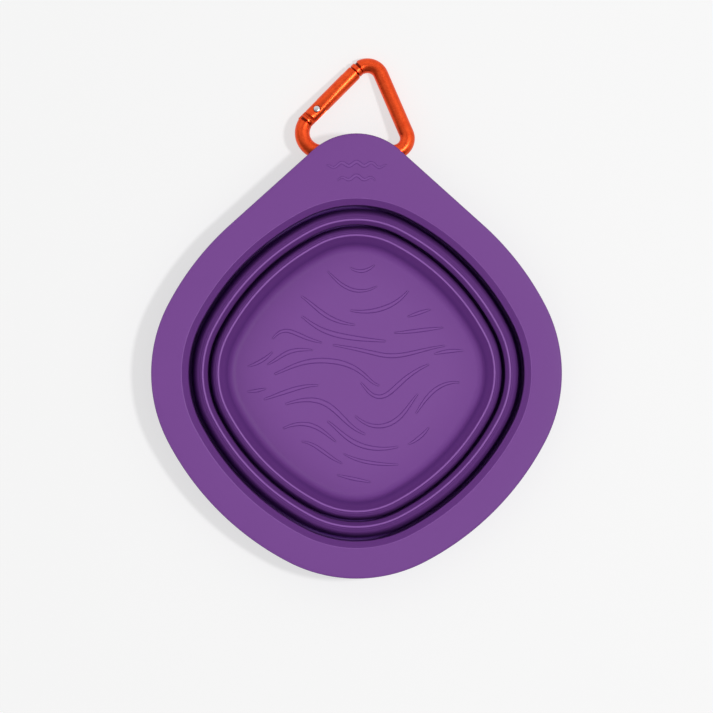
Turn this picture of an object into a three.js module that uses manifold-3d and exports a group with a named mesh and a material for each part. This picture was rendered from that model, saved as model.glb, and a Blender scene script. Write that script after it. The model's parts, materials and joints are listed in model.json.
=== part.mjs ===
// Collapsible silicone bowl with a spring-gate carabiner, folded flat.
// Millimetres, +Z up, +Y towards the carrying tab. The origin is the centre of the base's underside.

import * as THREE from 'three';
import { mergeVertices } from 'three/addons/utils/BufferGeometryUtils.js';
import Module from 'manifold-3d';

// Running gap between pieces that touch.
const GAP = 0.3;

// Bowl plan: a rounded square with its corners on the X and Y axes.
// Every width of the bowl is a half-width measured to a corner of that square.
const CORNER_CENTRE = 22.8;
const SIDE_FLATTENING = 4.2;
const CORE_CORNER_RADIUS = 12;
const BOWL_STEPS = 56;
const OUTLINE_ARC_STEPS = 5;

// Rim flange with its pointed tab.
const FLANGE_OUTER = 82.2;
const FLANGE_TOP = 17.5;
const FLANGE_THICKNESS = 3;
const FLANGE_EDGE_ROUND = 0.8;
const TAB_REACH = 13.8;
const TAB_TIP_RADIUS = 26;
const MOUTH_HALF_WIDTH = 70;
const MOUTH_CHAMFER_RUN = 2.6;
const MOUTH_CHAMFER_DROP = 2.4;

// Wall bands and the thin folds between them.
const BAND_WALL = 1.8;
const BAND_LEAN_UPPER = 1.2;
const BAND_LEAN_MIDDLE = 0.5;
const FOLD_WALL = 0.9;
const FOLD_FOOT_HEIGHT = 1.5;
const UPPER_FOLD_RISE = 10.7;
const LOWER_FOLD_RISE = 9;
const UPPER_FOLD_RUN = 3.2;
const LOWER_FOLD_RUN = 2.4;
const FOLD_SHOULDER_RUN_SHARE = 0.62;
const FOLD_SHOULDER_DROP_SHARE = 0.22;
const CREST_LIP = 0.9;
const CREST_ROUND = 0.9;
const CREST_ROUND_SWEEP = 140;
const CREST_CHAMFER_DROP = 2.3;
const CREST_STEPS = 4;

// Base cup.
const FLOOR_THICKNESS = 2;
const FLOOR_FILLET_HEIGHT = 3.4;
const FLOOR_FILLET_RUN = 2.9;
const BASE_WALL_LEAN = 1.8;
const FLOOR_FILLET_STEPS = 4;
const UNDERSIDE_ROUND = 1;

// Moulded loop under the tab.
const LOOP_WIDTH = 16;
const LOOP_ROOF = 0.6;
const LOOP_STRAP = 2.3;
const LOOP_CLEARANCE = 0.5;
const TAB_TIP_TO_BAR = 7.4;

// Carabiner body: a bent rod with a straight bar through the loop and three rounded corners.
// Corner places are given in the carabiner's own plane, across the bar and out from it.
const ROD_DIAMETER = 6;
const ROD_SIDES = 12;
const ROD_STEPS = 56;
const HINGE_CORNER_ACROSS = -13.85;
const HINGE_CORNER_RADIUS = 7.9;
const PLAIN_CORNER_ACROSS = 14.8;
const PLAIN_CORNER_RADIUS = 5.6;
const APEX_CORNER_ACROSS = 4.4;
const APEX_CORNER_OUT = 29.8;
const APEX_CORNER_RADIUS = 5.8;
const TABLE_CLEARANCE = 0.05;

// Gate side of the carabiner, measured along the straight side between the two corners it spans.
const HINGE_SHOULDER_BACK = 1.6;
const NOSE_SHOULDER_BACK = 1.5;
const SHOULDER_OVERLAP = 0.8;
const GATE_DIAMETER = 6.2;
const GATE_SIDES = 20;
const GATE_END_SETBACK = 1.3;
const GATE_OPENING = 30;
const TANG_THICKNESS = 2;
const TANG_HALF_WIDTH = 2.2;
const RIVET_FROM_GATE_END = 3.9;
const CAM_BASE_RADIUS = 2.3;
const CAM_OFFSET = 0.9;
const CAM_SPARE_ANGLE = 6;
const CAM_STEPS = 6;
const TONGUE_REACH = 3.5;
const TONGUE_INSIDE = 1;
const TONGUE_OUTSIDE = 2;
const TONGUE_END_CLEARANCE = 1;

// Gate rivet, plunger and spring.
const RIVET_PIN_RADIUS = 0.95;
const RIVET_HEAD_RADIUS = 1.25;
const RIVET_HEAD_HEIGHT = 0.55;
const RIVET_HEAD_PROUD = 0.1;
const RIVET_SIDES = 16;
const PLUNGER_RADIUS = 1.3;
const PLUNGER_LENGTH = 3;
const SPRING_LENGTH = 6;
const SPRING_WIRE = 0.5;
const SPRING_TURNS = 5;
const SPRING_STEPS_PER_TURN = 10;
const SPRING_WIRE_SIDES = 6;

// Colours and finishes.
const PURPLE_SILICONE = { color: 0x794b94, roughness: 0.75, metalness: 0 };
const ORANGE_ANODISED = { color: 0xe0481c, roughness: 0.35, metalness: 0.8 };
const BARE_STEEL = { color: 0xc9cbcf, roughness: 0.3, metalness: 1 };

const wasm = await Module();
wasm.setup();

// Closed geometry, solids and booleans.

function signedVolume(geometry) {
  const position = geometry.getAttribute('position');
  const index = geometry.getIndex();
  const corners = [new THREE.Vector3(), new THREE.Vector3(), new THREE.Vector3()];
  let total = 0;
  for (let i = 0; i < index.count; i += 3) {
    corners.forEach((corner, k) => corner.fromBufferAttribute(position, index.getX(i + k)));
    total += corners[0].dot(corners[1].clone().cross(corners[2]));
  }
  return total / 6;
}

// Shared vertices are merged, collapsed triangles dropped and all faces turned outwards.
function closedGeometry(source) {
  const bare = source.clone();
  bare.deleteAttribute('normal');
  bare.deleteAttribute('uv');
  const merged = mergeVertices(bare, 1e-4);
  const index = merged.getIndex();
  const kept = [];
  for (let i = 0; i < index.count; i += 3) {
    const [a, b, c] = [index.getX(i), index.getX(i + 1), index.getX(i + 2)];
    if (a !== b && b !== c && c !== a) {
      kept.push(a, b, c);
    }
  }
  merged.setIndex(kept);
  if (signedVolume(merged) < 0) {
    merged.setIndex(kept.reverse());
  }
  return merged;
}

function solid(source) {
  const geometry = closedGeometry(source);
  const vertProperties = new Float32Array(geometry.getAttribute('position').array);
  const triVerts = new Uint32Array(geometry.getIndex().array);
  return new wasm.Manifold(new wasm.Mesh({ numProp: 3, vertProperties, triVerts }));
}

function geometryOf(manifold) {
  const { vertProperties, triVerts } = manifold.getMesh();
  const geometry = new THREE.BufferGeometry();
  geometry.setAttribute('position', new THREE.BufferAttribute(vertProperties, 3));
  geometry.setIndex(new THREE.BufferAttribute(triVerts, 1));
  return geometry;
}

function piece(name, geometry, finish) {
  const finished = geometry.toNonIndexed();
  finished.computeVertexNormals();
  const mesh = new THREE.Mesh(finished, new THREE.MeshStandardMaterial(finish));
  mesh.name = name;
  return mesh;
}

// A plate of the outline's shape, centred on the outline's plane.
function plate(shape, thickness, arcSteps = OUTLINE_ARC_STEPS) {
  const geometry = new THREE.ExtrudeGeometry(shape, {
    depth: thickness,
    bevelEnabled: false,
    curveSegments: arcSteps,
  });
  return geometry.translate(0, 0, -thickness / 2);
}

function rectangle(left, bottom, right, top) {
  const shape = new THREE.Shape();
  shape.moveTo(left, bottom);
  shape.lineTo(right, bottom);
  shape.lineTo(right, top);
  shape.lineTo(left, top);
  shape.closePath();
  return shape;
}

function polar(distance, angle) {
  return new THREE.Vector2(distance * Math.cos(angle), distance * Math.sin(angle));
}

// Bowl plan geometry.
// Each ring is four corner arcs and four flatter side arcs that meet in common tangents.
// Rings of any half-width share the same arc centres, so they lie at an even distance from each other.

const QUARTER_TURN = Math.PI / 2;
const EIGHTH_TURN = Math.PI / 4;
const FLAT_CENTRE = CORNER_CENTRE - SIDE_FLATTENING;
const SIDE_CENTRE = (FLAT_CENTRE ** 2 - CORNER_CENTRE ** 2)
  / (Math.SQRT2 * CORNER_CENTRE - 2 * FLAT_CENTRE);
const SIDE_OFFSET = SIDE_CENTRE * Math.SQRT1_2;
const CENTRE_SPACING = Math.hypot(CORNER_CENTRE + SIDE_OFFSET, SIDE_OFFSET);
const CORNER_SWEEP = Math.atan2(SIDE_OFFSET, CORNER_CENTRE + SIDE_OFFSET);
const CORE_HALF_WIDTH = CORNER_CENTRE + CORE_CORNER_RADIUS;

function cornerRadius(halfWidth) {
  return halfWidth - CORNER_CENTRE;
}

function sideRadius(halfWidth) {
  return cornerRadius(halfWidth) + CENTRE_SPACING;
}

// The point of a ring whose outward normal stands at the given angle.
// Inside the core the ring of the core's size is shrunk towards the axis.
function planPoint(halfWidth, angle) {
  const ringWidth = Math.max(halfWidth, CORE_HALF_WIDTH);
  const corner = Math.round(angle / QUARTER_TURN) * QUARTER_TURN;
  const fromCorner = angle - corner;
  const point = new THREE.Vector2();
  if (Math.abs(fromCorner) <= CORNER_SWEEP) {
    point.copy(polar(CORNER_CENTRE, corner));
    point.add(polar(cornerRadius(ringWidth), angle));
  } else {
    point.copy(polar(-SIDE_CENTRE, corner + Math.sign(fromCorner) * EIGHTH_TURN));
    point.add(polar(sideRadius(ringWidth), angle));
  }
  return point.multiplyScalar(halfWidth / ringWidth);
}

// A profile of half-widths and heights carried round the rounded square.
function bowlTurning(profile) {
  const geometry = new THREE.LatheGeometry(profile, BOWL_STEPS).rotateX(QUARTER_TURN);
  const position = geometry.getAttribute('position');
  for (let i = 0; i < position.count; i += 1) {
    const angle = Math.atan2(position.getY(i), position.getX(i));
    const point = planPoint(Math.hypot(position.getX(i), position.getY(i)), angle);
    position.setXY(i, point.x, point.y);
  }
  return geometry;
}

function closedProfile(points) {
  const profile = points.map(([halfWidth, height]) => new THREE.Vector2(halfWidth, height));
  profile.push(profile[0].clone());
  return profile;
}

// Widths of the folded wall, worked out from the mouth inwards.

const RIM_WALL_TOP = MOUTH_HALF_WIDTH - MOUTH_CHAMFER_RUN;
const RIM_WALL_FOOT = RIM_WALL_TOP - BAND_LEAN_UPPER;
const FLANGE_UNDERSIDE = FLANGE_TOP - FLANGE_THICKNESS;

function foldWidths(bandFoot, run) {
  const footOuter = bandFoot - GAP;
  return {
    footOuter,
    footInner: footOuter - FOLD_WALL,
    topOuter: footOuter - run,
    topInner: footOuter - FOLD_WALL - run,
  };
}

// A crest stands over the top of the fold outside it, on the band inside it.
function crestWidths(fold) {
  const bandOuter = fold.topInner - GAP;
  const bandInner = bandOuter - BAND_WALL;
  return { lipOuter: fold.topOuter, bandOuter, bandInner };
}

const UPPER_FOLD = foldWidths(RIM_WALL_FOOT, UPPER_FOLD_RUN);
const MIDDLE_CREST = crestWidths(UPPER_FOLD);
const MIDDLE_FOOT_INNER = MIDDLE_CREST.bandInner - BAND_LEAN_MIDDLE;
const LOWER_FOLD = foldWidths(MIDDLE_FOOT_INNER, LOWER_FOLD_RUN);
const BASE_CREST = crestWidths(LOWER_FOLD);

// Rounded ridge of a crest, from its outer lip over to a chamfer that runs down to the band's inner face.
function crestPoints(crest, foldRise) {
  const lipUnderside = FOLD_FOOT_HEIGHT + foldRise + GAP;
  const lipTop = lipUnderside + CREST_LIP;
  const ridge = crest.lipOuter - CREST_ROUND;
  const sweep = THREE.MathUtils.degToRad(CREST_ROUND_SWEEP);
  const points = [[crest.bandOuter, lipUnderside], [crest.lipOuter, lipUnderside]];
  for (let step = 0; step <= CREST_STEPS; step += 1) {
    const turn = polar(CREST_ROUND, (sweep * step) / CREST_STEPS);
    points.push([ridge + turn.x, lipTop + turn.y]);
  }
  points.push([crest.bandInner, lipTop + CREST_ROUND - CREST_CHAMFER_DROP]);
  return points;
}

// A web rises steeply from its foot to a shoulder and slopes from there up to its top.
function foldWeb(fold, rise) {
  const top = FOLD_FOOT_HEIGHT + rise;
  const shoulder = top - rise * FOLD_SHOULDER_DROP_SHARE;
  const shoulderRun = (fold.footOuter - fold.topOuter) * FOLD_SHOULDER_RUN_SHARE;
  return closedGeometry(bowlTurning(closedProfile([
    [fold.footInner, FOLD_FOOT_HEIGHT],
    [fold.footOuter, FOLD_FOOT_HEIGHT],
    [fold.topOuter + shoulderRun, shoulder],
    [fold.topOuter, top],
    [fold.topInner, top],
    [fold.topInner + shoulderRun, shoulder],
  ])));
}

// Rim flange: a flat plate with a tab, the upper wall band and the carrying loop.

const TAB_TIP = FLANGE_OUTER + TAB_REACH;
const FLANGE_SEAM = MOUTH_HALF_WIDTH + BAND_WALL;

function flangeOutline(inset) {
  const halfWidth = FLANGE_OUTER - inset;
  const tipRadius = TAB_TIP_RADIUS - inset;
  const tipCentre = new THREE.Vector2(0, TAB_TIP - TAB_TIP_RADIUS);
  const between = tipCentre.clone().add(new THREE.Vector2(SIDE_OFFSET, SIDE_OFFSET));
  const tabNormal = between.angle() - Math.acos((sideRadius(halfWidth) - tipRadius) / between.length());
  const outline = new THREE.Shape();
  const arc = (centre, radius, from, to) => outline.absarc(centre.x, centre.y, radius, from, to, false);
  const corner = (angle) => {
    arc(polar(CORNER_CENTRE, angle), cornerRadius(halfWidth), angle - CORNER_SWEEP, angle + CORNER_SWEEP);
  };
  const side = (angle, from, to) => arc(polar(-SIDE_CENTRE, angle), sideRadius(halfWidth), from, to);
  const [right, top, left, bottom] = [0, 1, 2, 3].map((turn) => turn * QUARTER_TURN);
  corner(right);
  side(right + EIGHTH_TURN, right + CORNER_SWEEP, tabNormal);
  arc(tipCentre, tipRadius, tabNormal, Math.PI - tabNormal);
  side(top + EIGHTH_TURN, Math.PI - tabNormal, left - CORNER_SWEEP);
  corner(left);
  side(left + EIGHTH_TURN, left + CORNER_SWEEP, bottom - CORNER_SWEEP);
  corner(bottom);
  side(bottom + EIGHTH_TURN, bottom + CORNER_SWEEP, bottom + QUARTER_TURN - CORNER_SWEEP);
  outline.closePath();
  return outline;
}

function flangePlate() {
  const outline = flangeOutline(FLANGE_EDGE_ROUND);
  const edge = {
    depth: FLANGE_THICKNESS - 2 * FLANGE_EDGE_ROUND,
    bevelEnabled: true,
    bevelThickness: FLANGE_EDGE_ROUND,
    bevelSize: FLANGE_EDGE_ROUND,
    bevelSegments: 2,
    curveSegments: OUTLINE_ARC_STEPS,
  };
  const geometry = new THREE.ExtrudeGeometry(outline, edge);
  return solid(geometry.translate(0, 0, FLANGE_UNDERSIDE + FLANGE_EDGE_ROUND));
}

// Everything inside the seam, from under the bowl to above it.
function mouthCutter() {
  return solid(bowlTurning([
    new THREE.Vector2(0, 0),
    new THREE.Vector2(MOUTH_HALF_WIDTH + BAND_WALL / 2, 0),
    new THREE.Vector2(MOUTH_HALF_WIDTH + BAND_WALL / 2, FLANGE_TOP + FLANGE_THICKNESS),
    new THREE.Vector2(0, FLANGE_TOP + FLANGE_THICKNESS),
  ]));
}

function upperBand() {
  return solid(bowlTurning(closedProfile([
    [RIM_WALL_FOOT, FOLD_FOOT_HEIGHT],
    [RIM_WALL_FOOT + BAND_WALL, FOLD_FOOT_HEIGHT],
    [RIM_WALL_TOP + BAND_WALL, FLANGE_UNDERSIDE],
    [FLANGE_SEAM, FLANGE_UNDERSIDE],
    [FLANGE_SEAM, FLANGE_TOP],
    [MOUTH_HALF_WIDTH, FLANGE_TOP],
    [RIM_WALL_TOP, FLANGE_TOP - MOUTH_CHAMFER_DROP],
  ])));
}

const ROD_RADIUS = ROD_DIAMETER / 2;
const LOOP_HOLE_RADIUS = ROD_RADIUS + LOOP_CLEARANCE;
const LOOP_RADIUS = LOOP_HOLE_RADIUS + LOOP_STRAP;
const BAR_OUT = TAB_TIP - TAB_TIP_TO_BAR;
const BAR_HEIGHT = FLANGE_UNDERSIDE - LOOP_ROOF - LOOP_HOLE_RADIUS;

// The loop's outline lies across the bar: a strap round the hole, carried up into the flange.
function carryingLoop() {
  const outline = new THREE.Shape();
  const root = FLANGE_UNDERSIDE + FLANGE_THICKNESS / 2 - BAR_HEIGHT;
  outline.moveTo(LOOP_RADIUS, root);
  outline.lineTo(-LOOP_RADIUS, root);
  outline.absarc(0, 0, LOOP_RADIUS, Math.PI, 2 * Math.PI, false);
  outline.closePath();
  const hole = new THREE.Path();
  hole.absarc(0, 0, LOOP_HOLE_RADIUS, 0, 2 * Math.PI, true);
  outline.holes.push(hole);
  const geometry = plate(outline, LOOP_WIDTH, 2 * OUTLINE_ARC_STEPS);
  geometry.rotateX(QUARTER_TURN).rotateZ(QUARTER_TURN);
  return solid(geometry.translate(0, BAR_OUT, BAR_HEIGHT));
}

function rimFlange() {
  return flangePlate().subtract(mouthCutter()).add(upperBand()).add(carryingLoop());
}

// Middle ring: one wall band under a crest.

function middleRing() {
  const crest = crestPoints(MIDDLE_CREST, UPPER_FOLD_RISE);
  return closedGeometry(bowlTurning(closedProfile([
    [MIDDLE_FOOT_INNER, FOLD_FOOT_HEIGHT],
    [MIDDLE_FOOT_INNER + BAND_WALL, FOLD_FOOT_HEIGHT],
    ...crest,
  ])));
}

// Base cup: the lowest wall band, filleted into a flat floor.

function filletPoints(edge, run, height, floor) {
  const points = [];
  for (let step = 0; step <= FLOOR_FILLET_STEPS; step += 1) {
    const angle = (QUARTER_TURN * step) / FLOOR_FILLET_STEPS;
    points.push([edge - run * (1 - Math.cos(angle)), floor + height * (1 - Math.sin(angle))]);
  }
  return points;
}

function baseCup() {
  const wallFoot = BASE_CREST.bandInner - BASE_WALL_LEAN;
  const outerFoot = wallFoot + BAND_WALL;
  const inside = filletPoints(wallFoot, FLOOR_FILLET_RUN, FLOOR_FILLET_HEIGHT, FLOOR_THICKNESS);
  const outside = filletPoints(outerFoot, FLOOR_FILLET_RUN, FLOOR_FILLET_HEIGHT + UNDERSIDE_ROUND, 0);
  const points = [
    [0, 0],
    ...outside.reverse(),
    ...crestPoints(BASE_CREST, LOWER_FOLD_RISE),
    ...inside,
    [0, FLOOR_THICKNESS],
  ];
  return closedGeometry(bowlTurning(points.map(([width, height]) => new THREE.Vector2(width, height))));
}

// Carabiner, drawn flat in its own plane with the bar's centre line through its origin along X.

const GATE_RADIUS = GATE_DIAMETER / 2;
const HINGE_CORNER = new THREE.Vector2(HINGE_CORNER_ACROSS, HINGE_CORNER_RADIUS);
const PLAIN_CORNER = new THREE.Vector2(PLAIN_CORNER_ACROSS, PLAIN_CORNER_RADIUS);
const APEX_CORNER = new THREE.Vector2(APEX_CORNER_ACROSS, APEX_CORNER_OUT);

function gateSide() {
  const between = APEX_CORNER.clone().sub(HINGE_CORNER);
  const taper = Math.asin((HINGE_CORNER_RADIUS - APEX_CORNER_RADIUS) / between.length());
  const along = between.angle() - taper;
  const normal = along + QUARTER_TURN;
  const start = HINGE_CORNER.clone().add(polar(HINGE_CORNER_RADIUS, normal));
  const end = APEX_CORNER.clone().add(polar(APEX_CORNER_RADIUS, normal));
  return { along, normal, start, length: start.distanceTo(end) };
}

function plainSideNormal() {
  const between = APEX_CORNER.clone().sub(PLAIN_CORNER);
  const taper = Math.asin((PLAIN_CORNER_RADIUS - APEX_CORNER_RADIUS) / between.length());
  return between.angle() + taper - QUARTER_TURN;
}

const GATE_SIDE = gateSide();
const GATE_LENGTH = GATE_SIDE.length - 2 * GATE_END_SETBACK;
const RIVET_ALONG = GATE_END_SETBACK + RIVET_FROM_GATE_END;
const RIVET_PLACE = GATE_SIDE.start.clone().add(polar(RIVET_ALONG, GATE_SIDE.along));

// Centre line of the rod, from its hinge shoulder round the bar and the apex to its nose shoulder.
class RodLine extends THREE.Curve {
  constructor() {
    super();
    const plainNormal = plainSideNormal();
    const hingeEnd = GATE_SIDE.normal + HINGE_SHOULDER_BACK / HINGE_CORNER_RADIUS;
    const noseEnd = GATE_SIDE.normal - NOSE_SHOULDER_BACK / APEX_CORNER_RADIUS;
    const path = new THREE.Path();
    const arc = (centre, radius, from, to) => path.absarc(centre.x, centre.y, radius, from, to, false);
    arc(HINGE_CORNER, HINGE_CORNER_RADIUS, hingeEnd, 3 * QUARTER_TURN);
    arc(PLAIN_CORNER, PLAIN_CORNER_RADIUS, -QUARTER_TURN, plainNormal);
    arc(APEX_CORNER, APEX_CORNER_RADIUS, plainNormal, noseEnd);
    this.path = path;
  }

  getPoint(t) {
    const point = this.path.getPoint(t);
    return new THREE.Vector3(point.x, point.y, 0);
  }
}

function circleShape(radius, sides) {
  const shape = new THREE.Shape();
  for (let side = 0; side < sides; side += 1) {
    const corner = polar(radius, (2 * Math.PI * (side + 0.5)) / sides);
    if (side === 0) {
      shape.moveTo(corner.x, corner.y);
    } else {
      shape.lineTo(corner.x, corner.y);
    }
  }
  shape.closePath();
  return shape;
}

// Moves a solid drawn about the rivet, with the gate along X, to its place in the carabiner's plane.
function placeOnGateSide(geometry) {
  return geometry.rotateZ(GATE_SIDE.along).translate(RIVET_PLACE.x, RIVET_PLACE.y, 0);
}

const GATE_OPENING_TURN = THREE.MathUtils.degToRad(GATE_OPENING);
const CAM_TURN = GATE_OPENING_TURN + THREE.MathUtils.degToRad(CAM_SPARE_ANGLE);
const CAM_REACH = Math.hypot(CAM_BASE_RADIUS + CAM_OFFSET * CAM_TURN, CAM_OFFSET);

// Flat tang round the rivet. Its end is a cam: a circle, a short flat that holds the gate shut,
// then an involute that drives the plunger back evenly as the gate opens.
function tangOutline() {
  const root = -RIVET_ALONG - HINGE_SHOULDER_BACK - SHOULDER_OVERLAP;
  const outline = new THREE.Shape();
  outline.moveTo(root, -TANG_HALF_WIDTH);
  const involuteEnd = involutePoint(-CAM_TURN);
  outline.lineTo(Math.min(involuteEnd.x, 0), -TANG_HALF_WIDTH);
  for (let step = CAM_STEPS; step >= 0; step -= 1) {
    const point = involutePoint((-CAM_TURN * step) / CAM_STEPS);
    outline.lineTo(point.x, point.y);
  }
  for (let step = 0; step <= CAM_STEPS; step += 1) {
    const point = polar(CAM_BASE_RADIUS, (QUARTER_TURN * step) / CAM_STEPS);
    outline.lineTo(point.x, Math.min(point.y, TANG_HALF_WIDTH));
  }
  outline.lineTo(root, TANG_HALF_WIDTH);
  outline.closePath();
  return outline;
}

function involutePoint(angle) {
  const reach = polar(CAM_BASE_RADIUS - CAM_OFFSET * angle, angle);
  return reach.sub(polar(CAM_OFFSET, angle + QUARTER_TURN));
}

// Flat tongue of the nose that the gate shuts against.
function tongueOutline() {
  const tip = GATE_LENGTH - RIVET_FROM_GATE_END - TONGUE_REACH;
  const root = GATE_SIDE.length - RIVET_ALONG + NOSE_SHOULDER_BACK + SHOULDER_OVERLAP;
  return rectangle(tip, -TONGUE_INSIDE, root, TONGUE_OUTSIDE);
}

function rivetHole(radius) {
  const geometry = new THREE.CylinderGeometry(radius, radius, 2 * GATE_DIAMETER, RIVET_SIDES);
  return solid(placeOnGateSide(geometry.rotateX(QUARTER_TURN)));
}

function carabinerBody() {
  const rod = new THREE.ExtrudeGeometry(circleShape(ROD_RADIUS, ROD_SIDES), {
    steps: ROD_STEPS,
    bevelEnabled: false,
    extrudePath: new RodLine(),
  });
  const tang = placeOnGateSide(plate(tangOutline(), TANG_THICKNESS));
  const tongue = placeOnGateSide(plate(tongueOutline(), TANG_THICKNESS));
  return solid(rod).add(solid(tang)).add(solid(tongue)).subtract(rivetHole(RIVET_PIN_RADIUS + GAP));
}

// Gate: a round bar, forked over the tang, bored for its spring and notched for the nose's tongue.
// Lengths here run along the gate from the rivet.

const SLOT_WIDTH = TANG_THICKNESS + 2 * GAP;
const FORK_END = -RIVET_FROM_GATE_END;
const NOSE_END = GATE_LENGTH - RIVET_FROM_GATE_END;
const SLOT_BOTTOM = CAM_REACH + GAP;
const PLUNGER_FACE = CAM_BASE_RADIUS + GAP;
const SPRING_START = PLUNGER_FACE + PLUNGER_LENGTH + GAP;
const BORE_BOTTOM = SPRING_START + SPRING_LENGTH + GAP;
const BORE_RADIUS = PLUNGER_RADIUS + GAP;

function gateCylinder(radius, from, to, sides) {
  const geometry = new THREE.CylinderGeometry(radius, radius, to - from, sides);
  return geometry.rotateZ(-QUARTER_TURN).translate((from + to) / 2, 0, 0);
}

function headSeat(side) {
  const floor = GATE_RADIUS + RIVET_HEAD_PROUD - RIVET_HEAD_HEIGHT - GAP;
  const geometry = new THREE.CylinderGeometry(
    RIVET_HEAD_RADIUS + GAP,
    RIVET_HEAD_RADIUS + GAP,
    GATE_DIAMETER,
    RIVET_SIDES,
  );
  geometry.rotateX(QUARTER_TURN).translate(0, 0, side * (floor + GATE_DIAMETER / 2));
  return solid(placeOnGateSide(geometry));
}

function carabinerGate() {
  const bar = gateCylinder(GATE_RADIUS, FORK_END, NOSE_END, GATE_SIDES);
  const slot = plate(rectangle(FORK_END - GATE_RADIUS, -GATE_DIAMETER, SLOT_BOTTOM, GATE_DIAMETER), SLOT_WIDTH);
  const bore = gateCylinder(BORE_RADIUS, 0, BORE_BOTTOM, RIVET_SIDES);
  const notchStart = NOSE_END - TONGUE_REACH - TONGUE_END_CLEARANCE;
  const notch = plate(
    rectangle(notchStart, -TONGUE_INSIDE - GAP, NOSE_END + GATE_RADIUS, GATE_DIAMETER),
    SLOT_WIDTH,
  );
  const cutters = [slot, bore, notch].map((cutter) => solid(placeOnGateSide(cutter)));
  cutters.push(rivetHole(RIVET_PIN_RADIUS + GAP), headSeat(1), headSeat(-1));
  return cutters.reduce((gate, cutter) => gate.subtract(cutter), solid(placeOnGateSide(bar)));
}

function hingeRivet() {
  const end = GATE_RADIUS + RIVET_HEAD_PROUD;
  const shank = end - RIVET_HEAD_HEIGHT;
  const profile = [
    [0, -end],
    [RIVET_HEAD_RADIUS, -end],
    [RIVET_HEAD_RADIUS, -shank],
    [RIVET_PIN_RADIUS, -shank],
    [RIVET_PIN_RADIUS, shank],
    [RIVET_HEAD_RADIUS, shank],
    [RIVET_HEAD_RADIUS, end],
    [0, end],
  ].map(([radius, height]) => new THREE.Vector2(radius, height));
  const geometry = new THREE.LatheGeometry(profile, RIVET_SIDES).rotateX(QUARTER_TURN);
  return closedGeometry(placeOnGateSide(geometry));
}

function springPlunger() {
  const geometry = gateCylinder(PLUNGER_RADIUS, PLUNGER_FACE, PLUNGER_FACE + PLUNGER_LENGTH, RIVET_SIDES);
  return closedGeometry(placeOnGateSide(geometry));
}

// Helix of the spring's wire along the gate.
class SpringLine extends THREE.Curve {
  getPoint(t) {
    const radius = BORE_RADIUS - GAP - SPRING_WIRE / 2;
    const turn = 2 * Math.PI * SPRING_TURNS * t;
    const along = SPRING_START + SPRING_WIRE / 2 + (SPRING_LENGTH - SPRING_WIRE) * t;
    return new THREE.Vector3(along, radius * Math.cos(turn), radius * Math.sin(turn));
  }
}

function gateSpring() {
  const geometry = new THREE.ExtrudeGeometry(circleShape(SPRING_WIRE / 2, SPRING_WIRE_SIDES), {
    steps: SPRING_TURNS * SPRING_STEPS_PER_TURN,
    bevelEnabled: false,
    extrudePath: new SpringLine(),
  });
  return closedGeometry(placeOnGateSide(geometry));
}

// The carabiner hangs from its bar in the loop until its apex lies on the table.
function carabiner() {
  const group = new THREE.Group();
  const drop = BAR_HEIGHT - ROD_RADIUS - TABLE_CLEARANCE;
  group.position.set(0, BAR_OUT, BAR_HEIGHT);
  group.rotation.x = -Math.asin(drop / (APEX_CORNER_OUT + APEX_CORNER_RADIUS));
  group.add(
    piece('carabiner_body', geometryOf(carabinerBody()), ORANGE_ANODISED),
    piece('carabiner_gate', geometryOf(carabinerGate()), ORANGE_ANODISED),
    piece('gate_hinge_rivet', hingeRivet(), BARE_STEEL),
    piece('spring_plunger', springPlunger(), BARE_STEEL),
    piece('gate_spring', gateSpring(), BARE_STEEL),
  );
  return group;
}

function bowl() {
  const group = new THREE.Group();
  group.add(
    piece('rim_flange', geometryOf(rimFlange()), PURPLE_SILICONE),
    piece('upper_fold', foldWeb(UPPER_FOLD, UPPER_FOLD_RISE), PURPLE_SILICONE),
    piece('middle_ring', middleRing(), PURPLE_SILICONE),
    piece('lower_fold', foldWeb(LOWER_FOLD, LOWER_FOLD_RISE), PURPLE_SILICONE),
    piece('base_cup', baseCup(), PURPLE_SILICONE),
  );
  return group;
}

const collapsibleBowl = new THREE.Group();
collapsibleBowl.add(bowl(), carabiner());

export default collapsibleBowl;
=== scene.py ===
"""Looks of a folded silicone bowl and its spring-gate carabiner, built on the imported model.

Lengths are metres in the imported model's frame: +Z up out of the bowl, +Y towards the carrying tab.
A half-width is measured from the bowl's axis to a corner of its rounded square.
"""

import json
import math

import bmesh
import bpy
from bpy.props import FloatProperty, FloatVectorProperty, IntProperty, PointerProperty
from bpy.types import Operator, Panel, PropertyGroup
from mathutils import Matrix, Vector


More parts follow.
